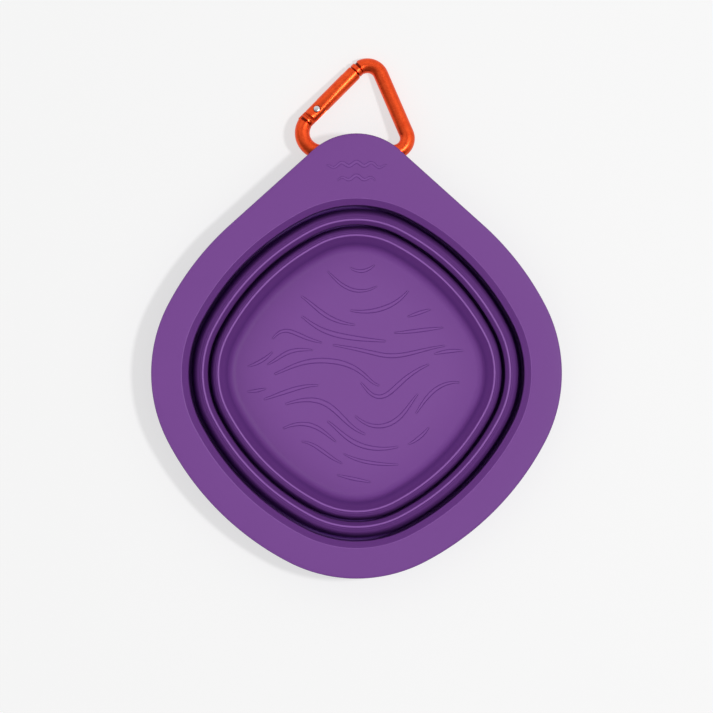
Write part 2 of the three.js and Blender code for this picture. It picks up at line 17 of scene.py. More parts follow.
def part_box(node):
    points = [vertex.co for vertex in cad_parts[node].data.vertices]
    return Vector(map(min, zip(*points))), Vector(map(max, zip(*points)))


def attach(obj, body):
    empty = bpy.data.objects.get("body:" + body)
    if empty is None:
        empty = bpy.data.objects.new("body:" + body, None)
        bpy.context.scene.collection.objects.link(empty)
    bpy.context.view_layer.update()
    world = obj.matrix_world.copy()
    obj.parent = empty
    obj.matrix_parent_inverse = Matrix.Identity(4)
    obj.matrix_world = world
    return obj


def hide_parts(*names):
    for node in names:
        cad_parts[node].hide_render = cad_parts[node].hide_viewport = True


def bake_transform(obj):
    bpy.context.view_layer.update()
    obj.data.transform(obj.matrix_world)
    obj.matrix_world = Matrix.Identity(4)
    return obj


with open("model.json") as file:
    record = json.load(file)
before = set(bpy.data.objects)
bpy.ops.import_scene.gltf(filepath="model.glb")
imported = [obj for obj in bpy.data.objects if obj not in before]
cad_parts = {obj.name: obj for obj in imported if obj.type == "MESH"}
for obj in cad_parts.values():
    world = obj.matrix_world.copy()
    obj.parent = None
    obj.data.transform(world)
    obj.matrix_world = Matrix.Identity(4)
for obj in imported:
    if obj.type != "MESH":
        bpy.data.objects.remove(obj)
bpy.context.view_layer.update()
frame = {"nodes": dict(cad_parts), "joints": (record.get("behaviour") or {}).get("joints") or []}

bl_info = {
    "name": "Collapsible Bowl",
    "version": (1, 0, 0),
    "blender": (4, 5, 0),
    "location": "View3D > Sidebar > Bowl",
    "description": "Dresses the packed model of a folded silicone bowl and its carabiner",
    "category": "Object",
}

MM = 0.001
TURN = 2 * math.pi
QUARTER_TURN = math.pi / 2
EIGHTH_TURN = math.pi / 4

JOINTS = {joint["name"]: joint for joint in frame["joints"]}
RIM_LOW, RIM_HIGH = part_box("rim_flange")


# Settings.


def length(name, millimetres, description):
    """A setting that holds a length"""
    return FloatProperty(
        name=name, description=description, default=millimetres * MM, unit="LENGTH", precision=5
    )


def share(name, default, description):
    """A setting that holds a part of a whole"""
    return FloatProperty(
        name=name, description=description, default=default, min=0, max=1, subtype="FACTOR"
    )


def tilt(name, degrees, description):
    """A setting that holds an angle"""
    return FloatProperty(
        name=name, description=description, default=math.radians(degrees), subtype="ANGLE"
    )


def colour(name, default, description):
    """A setting that holds a linear colour"""
    return FloatVectorProperty(
        name=name, description=description, default=default, size=3, min=0, max=1, subtype="COLOR"
    )


class BowlSettings(PropertyGroup):
    """Sizes and colours of the silicone bowl"""

    steps: IntProperty(name="Steps round", description="Faces round each ring", default=288, min=48)
    corner_centre: length("Corner centre", 22.8, "From the axis to the centre of each corner's arc")
    side_flattening: length("Side flattening", 4.2, "How much flatter the sides are than round ones")
    core_width: length("Core half-width", 34.8, "Half-width of the smallest ring of the floor")
    band_wall: length("Band wall", 1.8, "Thickness of the stiff wall bands")
    edge_round: length("Edge rounding", 0.5, "Radius of the small edges of the bands")
    running_gap: length("Running gap", 0.3, "Gap between a fold and the band inside it")

    flange_outer: length("Flange half-width", RIM_HIGH.x / MM, "Outer half-width without the tab")
    flange_thickness: length("Flange thickness", 3, "Thickness of the flange")
    flange_edge_round: length("Flange edge", 0.9, "Radius of the flange's outer edges")
    flange_root_round: length("Flange root", 1.5, "Radius where the flange joins the upper band")
    flange_crown_run: length("Crown run", 4, "Width of the outer strip that slopes down")
    flange_crown_drop: length("Crown drop", 0.3, "How far that strip slopes down")
    tab_tip: length("Tab tip", RIM_HIGH.y / MM, "From the axis to the tip of the tab")
    tab_tip_radius: length("Tab tip radius", 26, "Radius of the tab's rounded tip")
    mouth: length("Mouth", 70, "Half-width of the flange's inner edge")
    mouth_round: length("Mouth rounding", 0.45, "Radius of the flange's inner edge")
    mouth_chamfer_run: length("Mouth chamfer run", 2.6, "Width of the chamfer inside the mouth")
    mouth_chamfer_drop: length("Mouth chamfer drop", 3.4, "Height of the chamfer inside the mouth")
    upper_band_lean: length("Upper band lean", 0.3, "How far the upper band leans inwards at its foot")
    middle_band_lean: length("Middle band lean", 0.2, "How far the middle band leans inwards at its foot")

    fold_wall: length("Fold wall", 0.9, "Thickness of the two thin webs")
    shoulder_run: share("Shoulder run", 0.6, "Part of a web's run that lies above its shoulder")
    shoulder_drop: share("Shoulder drop", 0.2, "Part of a web's rise that lies above its shoulder")
    fold_grip: length("Fold grip", 0.8, "How far a web reaches into the crest over it")
    ridge_inset: length("Ridge inset", 1.2, "From a crest's outer lip to its ridge")
    ridge_round: length("Ridge rounding", 0.5, "Radius of a crest's ridge")
    crest_chamfer_drop: length("Crest chamfer drop", 4.2, "Height of the chamfer inside a crest")
    crest_foot_round: length("Crest foot rounding", 1.2, "Radius where that chamfer meets the band")

    floor_thickness: length("Floor thickness", 2, "Thickness of the base's floor")
    floor_corner: length("Floor corner", 50.4, "Half-width where wall and floor would meet")
    floor_fillet: length("Floor fillet", 3.2, "Radius between wall and floor")
    underside_corner: length("Underside corner", 52, "Half-width where wall and underside would meet")

    relief_side: length("Relief side", 0.42, "Width of the sloping sides of the raised bands")
    floor_relief: length("Floor relief", 0.3, "Height of the raised bands on the floor")
    tab_relief: length("Tab relief", 0.2, "Height of the raised bands on the tab")

    loop_width: length("Loop width", 16, "Width of the loop under the tab")
    loop_strap: length("Loop strap", 2.3, "Thickness of the loop's strap")
    loop_clearance: length("Loop clearance", 0.5, "Gap between the loop and the carabiner's bar")
    loop_flare: length("Loop flare", 0.5, "How far the loop widens where it joins the flange")

    silicone: colour("Silicone", (0.168, 0.046, 0.267), "Colour of the silicone")
    silicone_bloom: colour("Silicone bloom", (0.18, 0.052, 0.282), "Colour of its paler patches")
    # Painted highlight: pale colour mixed in on edges, ridges and the tops of raised bands, and a little
    # painted light on the webs and the floor.
    silicone_painted_highlight: colour("Silicone edge", (0.34, 0.15, 0.5), "Colour of its rubbed edges")
    # Painted shade: dark colour mixed in on steep sides, in creases and on the base cup's inner wall.
    silicone_painted_shade: colour("Silicone crease", (0.04, 0.004, 0.125), "Colour of creases and steep sides")


class CarabinerSettings(PropertyGroup):
    """Sizes and colours of the carabiner"""

    rod_diameter: length("Rod diameter", 6, "Diameter of the bent rod")
    hinge_corner: length("Hinge corner", -13.85, "Place of the hinge corner along the bar")
    hinge_corner_radius: length("Hinge corner radius", 7.9, "Radius of the hinge corner's bend")
    plain_corner: length("Plain corner", 14.8, "Place of the plain corner along the bar")
    plain_corner_radius: length("Plain corner radius", 5.6, "Radius of the plain corner's bend")
    apex_across: length("Apex across", 4.4, "Place of the apex along the bar")
    apex_out: length("Apex out", 29.8, "From the bar to the centre of the apex bend")
    apex_radius: length("Apex radius", 5.8, "Radius of the apex bend")
    hinge_shoulder: length("Hinge shoulder", 1.6, "From the bend's end back to the hinge shoulder")
    nose_shoulder: length("Nose shoulder", 1.5, "From the bend's end back to the nose shoulder")
    shoulder_round: length("Shoulder rounding", 0.35, "Bevel of the rod's and the gate's ends")

    gate_diameter: length("Gate diameter", 6.2, "Diameter of the gate")
    gate_setback: length("Gate setback", 1.3, "From each bend's end to the gate's end")
    slot_width: length("Slot width", 2.6, "Width of the gate's slots")
    slot_depth: length("Slot depth", 3.3, "From the rivet to the bottom of the hinge slot")
    notch_depth: length("Notch depth", 4.5, "Depth of the slot for the nose's tongue")
    bore_diameter: length("Bore", 3.2, "Diameter of the bore for the spring")
    bore_depth: length("Bore depth", 12.2, "From the rivet to the bottom of the bore")
    cut_bevel: length("Cut bevel", 0.1, "Bevel of the edges of the gate's cuts")

    tang_thickness: length("Tang thickness", 2, "Thickness of the tang and the tongue")
    tang_half_width: length("Tang half-width", 2.2, "Half the width of the tang")
    tang_end_radius: length("Tang end", 2.3, "Radius of the tang's end round the rivet")
    tongue_reach: length("Tongue reach", 3.5, "How far the tongue reaches into the gate")
    tongue_inside: length("Tongue inside", 1, "Width of the tongue towards the inside")
    tongue_outside: length("Tongue outside", 2, "Width of the tongue towards the outside")
    plate_grip: length("Plate grip", 0.8, "How far tang and tongue run into the rod")
    plate_bevel: length("Plate bevel", 0.15, "Bevel of the tang's and the tongue's edges")

    neck_diameter: length("Neck", 4.6, "Diameter of the rod's necks between the rod and its collars")
    collar_diameter: length("Collar", 5.8, "Diameter of the collars between the rod and the gate")
    collar_gap: length("Collar gap", 0.6, "Gap between a collar and the rod's shoulder")
    collar_bevel: length("Collar bevel", 0.25, "Bevel of the collars' edges")
    hinge_collar: length("Hinge collar", 1.2, "Length of the collar at the hinge")
    nose_collar: length("Nose collar", 1.9, "Length of the collar at the nose")

    rivet_diameter: length("Rivet", 1.9, "Diameter of the rivet's shank")
    rivet_head: length("Rivet head", 2.5, "Diameter of the rivet's heads")
    rivet_head_height: length("Rivet head height", 0.55, "Height of the rivet's heads")
    rivet_proud: length("Rivet proud", 0.1, "How far the heads stand out of the gate")
    rivet_gap: length("Rivet gap", 0.3, "Gap round the rivet")

    spring_length: length("Spring length", 6, "Length of the coil spring in the bore")
    spring_wire: length("Spring wire", 0.5, "Diameter of the spring's wire")
    spring_turns: IntProperty(name="Spring turns", description="Turns of the spring", default=5, min=1)
    spring_gap: length("Spring gap", 0.3, "Gap between the spring and its bore")

    orange: colour("Orange", (0.95, 0.108, 0.026), "Colour of the anodised aluminium")
    orange_deep: colour("Deep orange", (0.66, 0.047, 0.01), "Colour of its darker grain")
    # Painted shade: dark colour put on the necks and the collars' ends, where shade falls in the grooves.
    orange_painted_shade: colour("Groove", (0.16, 0.012, 0.004), "Colour of the grooves round its necks")
    steel: colour("Steel", (0.72, 0.72, 0.74), "Colour of the bare steel")


class StageSettings(PropertyGroup):
    """Floor, light and camera"""

    backdrop: colour("Backdrop", (0.93, 0.93, 0.93), "Colour of the floor and of what lies beyond it")
    floor_size: length("Floor size", 6000, "Side of the floor")
    shade: share("Shade", 0.42, "How much of the shade on it the floor shows")
    zenith_light: share("Zenith light", 0.62, "Light that the tent sheds from overhead")
    horizon_light: share("Horizon light", 0.3, "Light that the tent sheds from near the floor")
    tent_opening: share("Tent opening", 0.5, "How dark the camera's opening overhead looks in the metal")
    tent_glow: share("Tent glow", 0.34, "How much brighter than the backdrop its walls look in the metal")
    tent_flap: share("Tent flap", 0.6, "How dark the tent's open side looks in the metal")
    flap_turn: tilt("Flap turn", -110, "Angle of the tent's open side from the X axis")
    lamp_distance: length("Lamp distance", 2400, "From the bowl to each lamp")
    lamp_turn: tilt("Lamp turn", 3, "Angle of the line between the lamps from the X axis")
    right_light: share("Right light", 0.4, "Light of the right lamp on the bowl and the floor")
    right_lean: tilt("Right lean", 25.3, "Angle of the right lamp from straight up")
    right_size: length("Right size", 220, "Side of the square right lamp")
    left_light: share("Left light", 0.28, "Light of the left lamp, which falls on the bowl alone")
    left_lean: tilt("Left lean", 45, "Angle of the left lamp from straight up")
    left_size: length("Left size", 2400, "Side of the square left lamp")
    camera_distance: length("Camera distance", 4000, "From the flange to the camera")
    view_width: length("View width", 285.2, "Width of the picture at the flange")
    view_centre: length("View centre", 6.7, "Middle of the picture along Y")


# Shading.


class Socket:
    """A node's output that takes part in Python arithmetic by adding Math nodes"""

    def __init__(self, shading, socket):
        self.shading = shading
        self.socket = socket

    def maths(self, operation, first, second):
        return self.shading.node("ShaderNodeMath", {"operation": operation}, {0: first, 1: second})

    def __add__(self, other):
        return self.maths("ADD", self, other)

    def __radd__(self, other):
        return self.maths("ADD", other, self)

    def __sub__(self, other):
        return self.maths("SUBTRACT", self, other)

    def __rsub__(self, other):
        return self.maths("SUBTRACT", other, self)

    def __mul__(self, other):
        return self.maths("MULTIPLY", self, other)

    def __rmul__(self, other):
        return self.maths("MULTIPLY", other, self)


class Shading:
    """The nodes of one material or world"""

    def __init__(self, owner):
        owner.use_nodes = True
        self.tree = owner.node_tree
        self.tree.nodes.clear()

    def node(self, kind, settings=None, inputs=None, output=0):
        """Adds a node, sets it, fills or links its sockets and gives one of its outputs"""
        node = self.tree.nodes.new(kind)
        for name, value in (settings or {}).items():
            setattr(node, name, value)
        for key, value in (inputs or {}).items():
            if isinstance(value, Socket):
                self.tree.links.new(value.socket, node.inputs[key])
            else:
                node.inputs[key].default_value = value
        return Socket(self, node.outputs[output]) if node.outputs else None

    def place(self):
        """Places on the piece, in metres"""
        return self.node("ShaderNodeTexCoord", output="Object")

    def painted_light_level(self):
        """The piece's painted light, from -1, painted shade, to 1, painted highlight"""
        return self.node("ShaderNodeAttribute", {"attribute_name": "painted_light"}, output="Fac")

    def axis(self, way, name):
        """One part of a vector"""
        return self.node("ShaderNodeSeparateXYZ", None, {0: way}, name)

    def noise(self, place, grain, detail, roughness=0.5):
        """Noise whose patches are about as wide as the grain, from 0 to 1"""
        inputs = {"Vector": place, "Scale": 1 / grain, "Detail": detail, "Roughness": roughness}
        return self.node("ShaderNodeTexNoise", None, inputs)

    def stretched(self, place, factors):
        """Places scaled along each axis"""
        return self.node("ShaderNodeVectorMath", {"operation": "MULTIPLY"}, {0: place, 1: factors})

    def mix(self, factor, first, second):
        """A colour between two others"""
        inputs = {0: factor, 6: opaque(first), 7: opaque(second)}
        return self.node("ShaderNodeMix", {"data_type": "RGBA"}, inputs, output=2)

    def clamped(self, value, low, high):
        """The value's range from low to high, spread from 0 to 1"""
        return self.node("ShaderNodeMapRange", None, {"Value": value, "From Min": low, "From Max": high})

    def bump(self, height, depth, strength):
        """A surface normal for small bumps of that depth"""
        inputs = {"Height": height, "Distance": depth, "Strength": strength}
        return self.node("ShaderNodeBump", None, inputs)

    def looked_at(self):
        """1 where the eye, a reflection or a clear piece looks, 0 where light is gathered"""
        kinds = ("Is Camera Ray", "Is Glossy Ray", "Is Transmission Ray")
        camera, glossy, clear = (self.node("ShaderNodeLightPath", output=kind) for kind in kinds)
        return self.clamped(camera + glossy + clear, 0.0, 1.0)

    def surface(self, inputs):
        """Ends the material in a surface shader"""
        shader = self.node("ShaderNodeBsdfPrincipled", None, inputs)
        self.node("ShaderNodeOutputMaterial", None, {"Surface": shader})


def opaque(value):
    """A colour setting as a colour socket takes it, or a socket unchanged"""
    return value if isinstance(value, Socket) else (*value, 1.0)


def finish_named(name, make):
    """The material of that name, made when it is first asked for"""
    material = bpy.data.materials.get(name)
    if material is None:
        material = bpy.data.materials.new(name)
        make(Shading(material))
    return material


# Silicone: width of its patches and its grain, depth of the grain, and the patches' part in its bloom.
PATCH_SIZE = 14 * MM
SKIN_GRAIN = 0.45 * MM
SKIN_DEPTH = 0.02 * MM
PATCH_PART = 0.8

# Upward part of a side's normal where its painted shade starts and where it is darkest, and how strongly
# the painted shade on steep sides, the painted highlight on edges and the painted shade in creases are
# mixed in.
STEEP_SHADE_EDGE = (0.85, 0.35)
STEEP_SHADE_TINT = 0.16
HIGHLIGHT_TINT = 0.5
CREASE_SHADE_TINT = 0.95

# Anodised metal: width of its clouds and its tumbled grain, depth of the grain, the clouds' part in the
# speckle, and where the speckle goes from deep to bright.
CLOUD_SIZE = 2.5 * MM
TUMBLED_GRAIN = 0.4 * MM
TUMBLED_DEPTH = 0.05 * MM
CLOUD_PART = 0.3
SPECKLE_EDGE = (0.34, 0.6)

# Steel: width, depth and stretch of its turning marks, and how bright the duller ones are.
MARK_SIZE = 0.12 * MM
MARK_DEPTH = 0.01 * MM
MARK_STRETCH = (1.0, 0.15, 1.0)
DULL_STEEL = 0.75

# Stage: width of the paper's fibres, how bright the darker ones are, and the grey of the tent's light.
FIBRE_SIZE = 3 * MM
FIBRE_TONE = 0.985
TENT_GREY = 0.8


def silicone_finish(bowl):
    """Matte moulded silicone with a fine grain, faint patches, painted highlights on edges and painted
    shade on steep sides and creases
    """

    def make(shading):
        place = shading.place()
        patches = shading.noise(place, PATCH_SIZE, detail=4.0)
        grain = shading.noise(place, SKIN_GRAIN, detail=3.0, roughness=0.6)
        painted_light_level = shading.painted_light_level()
        painted_light = shading.clamped(painted_light_level, 0.0, 1.0)
        painted_shade = shading.clamped(painted_light_level, 0.0, -1.0)
        facing = shading.node("ShaderNodeNewGeometry", output="Normal")
        # Painted shade: steep sides are darkened by how little their normal faces up.
        steep = shading.clamped(shading.axis(facing, "Z"), *STEEP_SHADE_EDGE)
        bloom = patches * PATCH_PART + grain * (1 - PATCH_PART)
        body = shading.mix(bloom, bowl.silicone, bowl.silicone_bloom)
        shaded = shading.mix(steep * STEEP_SHADE_TINT, body, bowl.silicone_painted_shade)
        # Painted highlight where the piece's painted light is above 0, then painted shade where it is
        # below 0.
        highlighted = shading.mix(painted_light * HIGHLIGHT_TINT, shaded, bowl.silicone_painted_highlight)
        shading.surface({
            "Base Color": shading.mix(painted_shade * CREASE_SHADE_TINT, highlighted, bowl.silicone_painted_shade),
            "Roughness": 0.5 + 0.12 * patches - 0.1 * painted_light,
            "Specular IOR Level": 0.3,
            "Normal": shading.bump(grain, SKIN_DEPTH, strength=0.6),
        })

    return finish_named("matte_silicone", make)


def anodised_finish(carabiner):
    """Satin anodised aluminium with a fine tumbled grain and painted shade in its grooves"""

    def make(shading):
        place = shading.place()
        cloud = shading.noise(place, CLOUD_SIZE, detail=3.0)
        grain = shading.noise(place, TUMBLED_GRAIN, detail=4.0, roughness=0.7)
        speckle = shading.clamped(cloud * CLOUD_PART + grain * (1 - CLOUD_PART), *SPECKLE_EDGE)
        bright = shading.mix(speckle, carabiner.orange_deep, carabiner.orange)
        # Painted shade in the grooves round the necks.
        painted_groove_shade = shading.clamped(shading.painted_light_level(), 0.0, -1.0)
        shading.surface({
            "Base Color": shading.mix(painted_groove_shade, bright, carabiner.orange_painted_shade),
            "Metallic": 1.0,
            "Roughness": 0.24 + 0.18 * grain,
            "Normal": shading.bump(grain, TUMBLED_DEPTH, strength=0.6),
        })

    return finish_named("orange_anodised", make)


def steel_finish(carabiner):
    """Bright steel with fine turning marks"""

    def make(shading):
        place = shading.stretched(shading.place(), MARK_STRETCH)
        marks = shading.noise(place, MARK_SIZE, detail=3.0)
        dull = tuple(DULL_STEEL * part for part in carabiner.steel)
        shading.surface({
            "Base Color": shading.mix(marks, dull, carabiner.steel),
            "Metallic": 1.0,
            "Roughness": 0.18 + 0.2 * marks,
            "Normal": shading.bump(marks, MARK_DEPTH, strength=0.5),
        })

    return finish_named("bright_steel", make)


def floor_finish(stage):
    """Plain pale paper, whose shade is softened where it is looked at"""

    def make(shading):
        fibres = shading.noise(shading.place(), FIBRE_SIZE, detail=4.0)
        dim = tuple(FIBRE_TONE * part for part in stage.backdrop)
        paper = shading.node("ShaderNodeBsdfPrincipled", None, {
            "Base Color": shading.mix(fibres, dim, stage.backdrop),
            "Roughness": 0.9,
            "Specular IOR Level": 0.0,
        })
        lit = stage.right_light + TENT_GREY * (stage.zenith_light + stage.horizon_light) / 2
        glow = shading.node("ShaderNodeEmission", None, {
            "Color": opaque(stage.backdrop),
            "Strength": (1 - stage.shade * lit) / (1 - stage.shade),
        })
        glowing = (1 - stage.shade) * shading.looked_at()
        floor = shading.node("ShaderNodeMixShader", None, {0: glowing, 1: paper, 2: glow})
        shading.node("ShaderNodeOutputMaterial", None, {"Surface": floor})

    return finish_named("pale_paper", make)


# Meshes.


# Degrees by which an edge turns that stays crisp, on most pieces, on the relief and on the rivet.
CRISP_EDGE = 35
CRISP_RELIEF = 25
CRISP_RIVET = 50

# Steps of a rounded corner. A point beside it keeps the flat next to it flat: this far off, or this part
# of the flat where that is less.
ROUND_STEPS = 5
HOLD = 0.25 * MM
HOLD_PART = 1 / 8

# Painted light, from -1, painted shade, to 1, painted highlight: of edges, of the webs, of the base cup's
# inside, across a raised band, and along a neck of the carabiner with its collar.
MOUTH_HIGHLIGHT = 0.8
CHAMFER_HIGHLIGHT = 0.4
FLANGE_HIGHLIGHT = 0.2
RIDGE_HIGHLIGHT = 1.0
SHOULDER_PAINTED_LIGHT = 0.2
CREASE_PAINTED_SHADE = -0.8
WALL_PAINTED_SHADE = -0.32
FILLET_PAINTED_SHADE = -0.12
FLOOR_PAINTED_LIGHT = 0.16
BAND_PAINTED_LIGHT = (0.0, -0.75, 0.25, 0.25, -0.75, 0.0)
COLLAR_PAINTED_SHADE = (-1.0, -1.0, -1.0, 0.0, 0.0, -1.0)


def polar(distance, angle):
    """A plan point at that distance and angle"""
    return Vector((distance * math.cos(angle), distance * math.sin(angle)))


class Shape:
    """Closed skins gathered into one mesh"""

    def __init__(self):
        self.points = []
        self.faces = []
        self.painted_light = []

    def skin(self, rows, wrap=False, painted_light=None, painted_light_across=None):
        """Adds a skin over closed rows of points, joined end to end or capped at both ends

        Its painted light, from -1, painted shade, to 1, painted highlight, is given for each row, or for
        each place across the rows.
        """
        base = len(self.points)
        columns = len(rows[0])
        spans = len(rows) if wrap else len(rows) - 1
        for row, here in enumerate(rows):
            self.points.extend(here)
            self.painted_light.extend(painted_light_across or [painted_light[row] if painted_light else 0.0] * columns)
        for row in range(spans):
            here = base + row * columns
            there = base + (row + 1) % len(rows) * columns
            for column in range(columns):
                after = (column + 1) % columns
                self.faces.append((here + column, here + after, there + after, there + column))
        if not wrap:
            last = base + (len(rows) - 1) * columns
            self.faces.append(tuple(range(base + columns - 1, base - 1, -1)))
            self.faces.append(tuple(range(last, last + columns)))

    def build(self, name, matrix=None):
        """Makes the object, with its faces turned outwards and smooth"""
        mesh = bpy.data.meshes.new(name)
        mesh.from_pydata(self.points, [], self.faces)
        if matrix is not None:
            mesh.transform(matrix)
        outwards = bmesh.new()
        outwards.from_mesh(mesh)
        bmesh.ops.recalc_face_normals(outwards, faces=outwards.faces)
        outwards.to_mesh(mesh)
        outwards.free()
        painted_light = mesh.attributes.new("painted_light", "FLOAT", "POINT")
        painted_light.data.foreach_set("value", self.painted_light)
        mesh.shade_smooth()
        piece = bpy.data.objects.new(name, mesh)
        bpy.context.scene.collection.objects.link(piece)
        return piece


def skinned(name, rows, matrix):
    """An object with one skin"""
    shape = Shape()
    shape.skin(rows)
    return shape.build(name, matrix)


def apply_modifiers(piece):
    """Replaces a piece's mesh by what its modifiers make of it"""
    graph = bpy.context.evaluated_depsgraph_get()
    plain = piece.data
    mesh = bpy.data.meshes.new_from_object(piece.evaluated_get(graph))
    piece.modifiers.clear()
    piece.data = mesh
    bpy.data.meshes.remove(plain)
    mesh.name = piece.name


def carve(piece, cutters):
    """Cuts the cutters out of a piece and deletes them"""
    for cutter in cutters:
        cut = piece.modifiers.new(cutter.name, "BOOLEAN")
        cut.operation = "DIFFERENCE"
        cut.solver = "EXACT"
        cut.object = cutter
    apply_modifiers(piece)
    for cutter in cutters:
        bpy.data.objects.remove(cutter)


def sharpen(piece, degrees=CRISP_EDGE):
    """Keeps the edges crisp that turn by more than that angle"""
    piece.data.set_sharp_from_angle(angle=math.radians(degrees))


def dress(piece, material, node=None):
    """Gives a piece its material, and hides the CAD node that it stands for"""
    piece.data.materials.clear()
    piece.data.materials.append(material)
    if node:
        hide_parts(node)
    return piece


def moulded(bowl, shape, name, node=None):
    """A silicone piece"""
    return dress(shape.build(name), silicone_finish(bowl), node)


def rounded(corners):
    """A closed profile with its corners rounded

    Each corner is (half-width, height, radius, painted light), and each point of the profile
    (half-width, height, painted light). A point close before and after each arc keeps the flats flat.
    """
    profile = []
    for index, (width, height, radius, painted_light) in enumerate(corners):
        if radius == 0:
            profile.append((width, height, painted_light))
            continue
        corner = Vector((width, height))
        before = Vector(corners[index - 1][:2]) - corner
        after = Vector(corners[(index + 1) % len(corners)][:2]) - corner
        half_angle = before.angle(after) / 2
        tangent = radius / math.tan(half_angle)
        middle = (before.normalized() + after.normalized()).normalized()
        centre = corner + middle * (radius / math.sin(half_angle))
        start = corner + before.normalized() * tangent
        end = corner + after.normalized() * tangent
        from_start = (start - centre).normalized()
        to_end = (end - centre).normalized()
        hold = start + before.normalized() * min(HOLD, before.length * HOLD_PART)
        profile.append((*hold, 0.0))
        for step in range(ROUND_STEPS + 1):
            done = step / ROUND_STEPS
            point = centre + from_start.slerp(to_end, done) * radius
            profile.append((*point, painted_light * math.sin(math.pi * done)))
        hold = end + after.normalized() * min(HOLD, after.length * HOLD_PART)
        profile.append((*hold, 0.0))
    return profile


def ribbon(line, thickness, crease):
    """A closed profile round a line of (half-width, height) points, of even thickness

    Its lower part gets painted shade up to the height of the crease's edge, and the rest a little painted
    light.
    """
    outer, inner = [], []
    lowest = min(point.y for point in line)
    for index, point in enumerate(line):
        ahead = line[min(index + 1, len(line) - 1)] - line[max(index - 1, 0)]
        side = Vector((ahead.y, -ahead.x)).normalized() * (thickness / 2)
        # Painted shade on the web's lower part, up to the crease's edge; a little painted light above it.
        painted_shade = max(0.0, (crease - point.y) / (crease - lowest))
        painted_light_level = SHOULDER_PAINTED_LIGHT + (CREASE_PAINTED_SHADE - SHOULDER_PAINTED_LIGHT) * painted_shade
        outer.append((*(point + side), painted_light_level))
        inner.append((*(point - side), painted_light_level))
    return outer + inner[::-1]


# Plan of the bowl.


# Steps of a web's bend and of its shoulder, and the part of each side that the shoulder's curve takes.
WEB_BEND_STEPS = 8
SHOULDER_STEPS = 10
SHOULDER_REACH = 0.6

# How far a crest's sharp ridge would stand over the rounded one, in radii.
RIDGE_LIFT = 0.7


class BowlPlan:
    """Rings of four corner arcs and four flatter side arcs, all at an even distance from each other"""

    def __init__(self, bowl):
        centre = bowl.corner_centre
        flat = centre - bowl.side_flattening
        self.steps = bowl.steps
        self.corner_centre = centre
        self.side_centre = (flat**2 - centre**2) / (math.sqrt(2) * centre - 2 * flat)
        self.side_offset = self.side_centre * math.sqrt(0.5)
        self.spacing = math.hypot(centre + self.side_offset, self.side_offset)
        self.corner_sweep = math.atan2(self.side_offset, centre + self.side_offset)

    def side_radius(self, half_width):
        return half_width - self.corner_centre + self.spacing

    def point(self, half_width, angle):
        """The point of a ring whose outward normal stands at that angle"""
        corner = round(angle / QUARTER_TURN) * QUARTER_TURN
        turn = angle - corner
        if abs(turn) <= self.corner_sweep:
            return polar(self.corner_centre, corner) + polar(half_width - self.corner_centre, angle)
        side = corner + math.copysign(EIGHTH_TURN, turn)
        return polar(-self.side_centre, side) + polar(self.side_radius(half_width), angle)

    def ring(self, profile, point=None, wrap=True):
        """A shape whose profile is carried round the bowl, one closed row for each of its points"""
        point = point or self.point
        angles = [TURN * step / self.steps for step in range(self.steps)]
        rows = [[(*point(width, angle), height) for angle in angles] for width, height, _ in profile]
        shape = Shape()
        shape.skin(rows, wrap, [painted_light_level for _, _, painted_light_level in profile])
        return shape


class FlangeOutline:
    """Outer edge of the flange: the bowl's ring, drawn out to a rounded tab on the +Y side"""

    def __init__(self, plan, bowl):
        self.plan = plan
        self.outer = bowl.flange_outer
        self.tip_radius = bowl.tab_tip_radius
        self.tip_centre = Vector((0, bowl.tab_tip - bowl.tab_tip_radius))
        between = self.tip_centre + Vector((plan.side_offset, plan.side_offset))
        slope = math.acos((plan.side_radius(self.outer) - self.tip_radius) / between.length)
        self.normal = math.atan2(between.y, between.x) - slope
        self.start = plan.point(self.outer, self.normal)
        self.tip_start = self.tip_centre + polar(self.tip_radius, self.normal)
        self.straight = (self.tip_start - self.start).length
        self.half_arc = self.tip_radius * (QUARTER_TURN - self.normal)

    def point(self, half_width, angle):
        """The edge's point at that angle of the ring, moved inwards by what the half-width lacks"""
        if not self.normal < angle < math.pi - self.normal:
            return self.plan.point(half_width, angle)
        if angle > QUARTER_TURN:
            mirrored = self.point(half_width, math.pi - angle)
            return Vector((-mirrored.x, mirrored.y))
        done = (angle - self.normal) / (QUARTER_TURN - self.normal)
        travelled = done * (self.straight + self.half_arc)
        if travelled < self.straight:
            edge = self.start.lerp(self.tip_start, travelled / self.straight)
            return edge - polar(self.outer - half_width, self.normal)
        normal = self.normal + (travelled - self.straight) / self.tip_radius
        return self.tip_centre + polar(self.tip_radius - self.outer + half_width, normal)


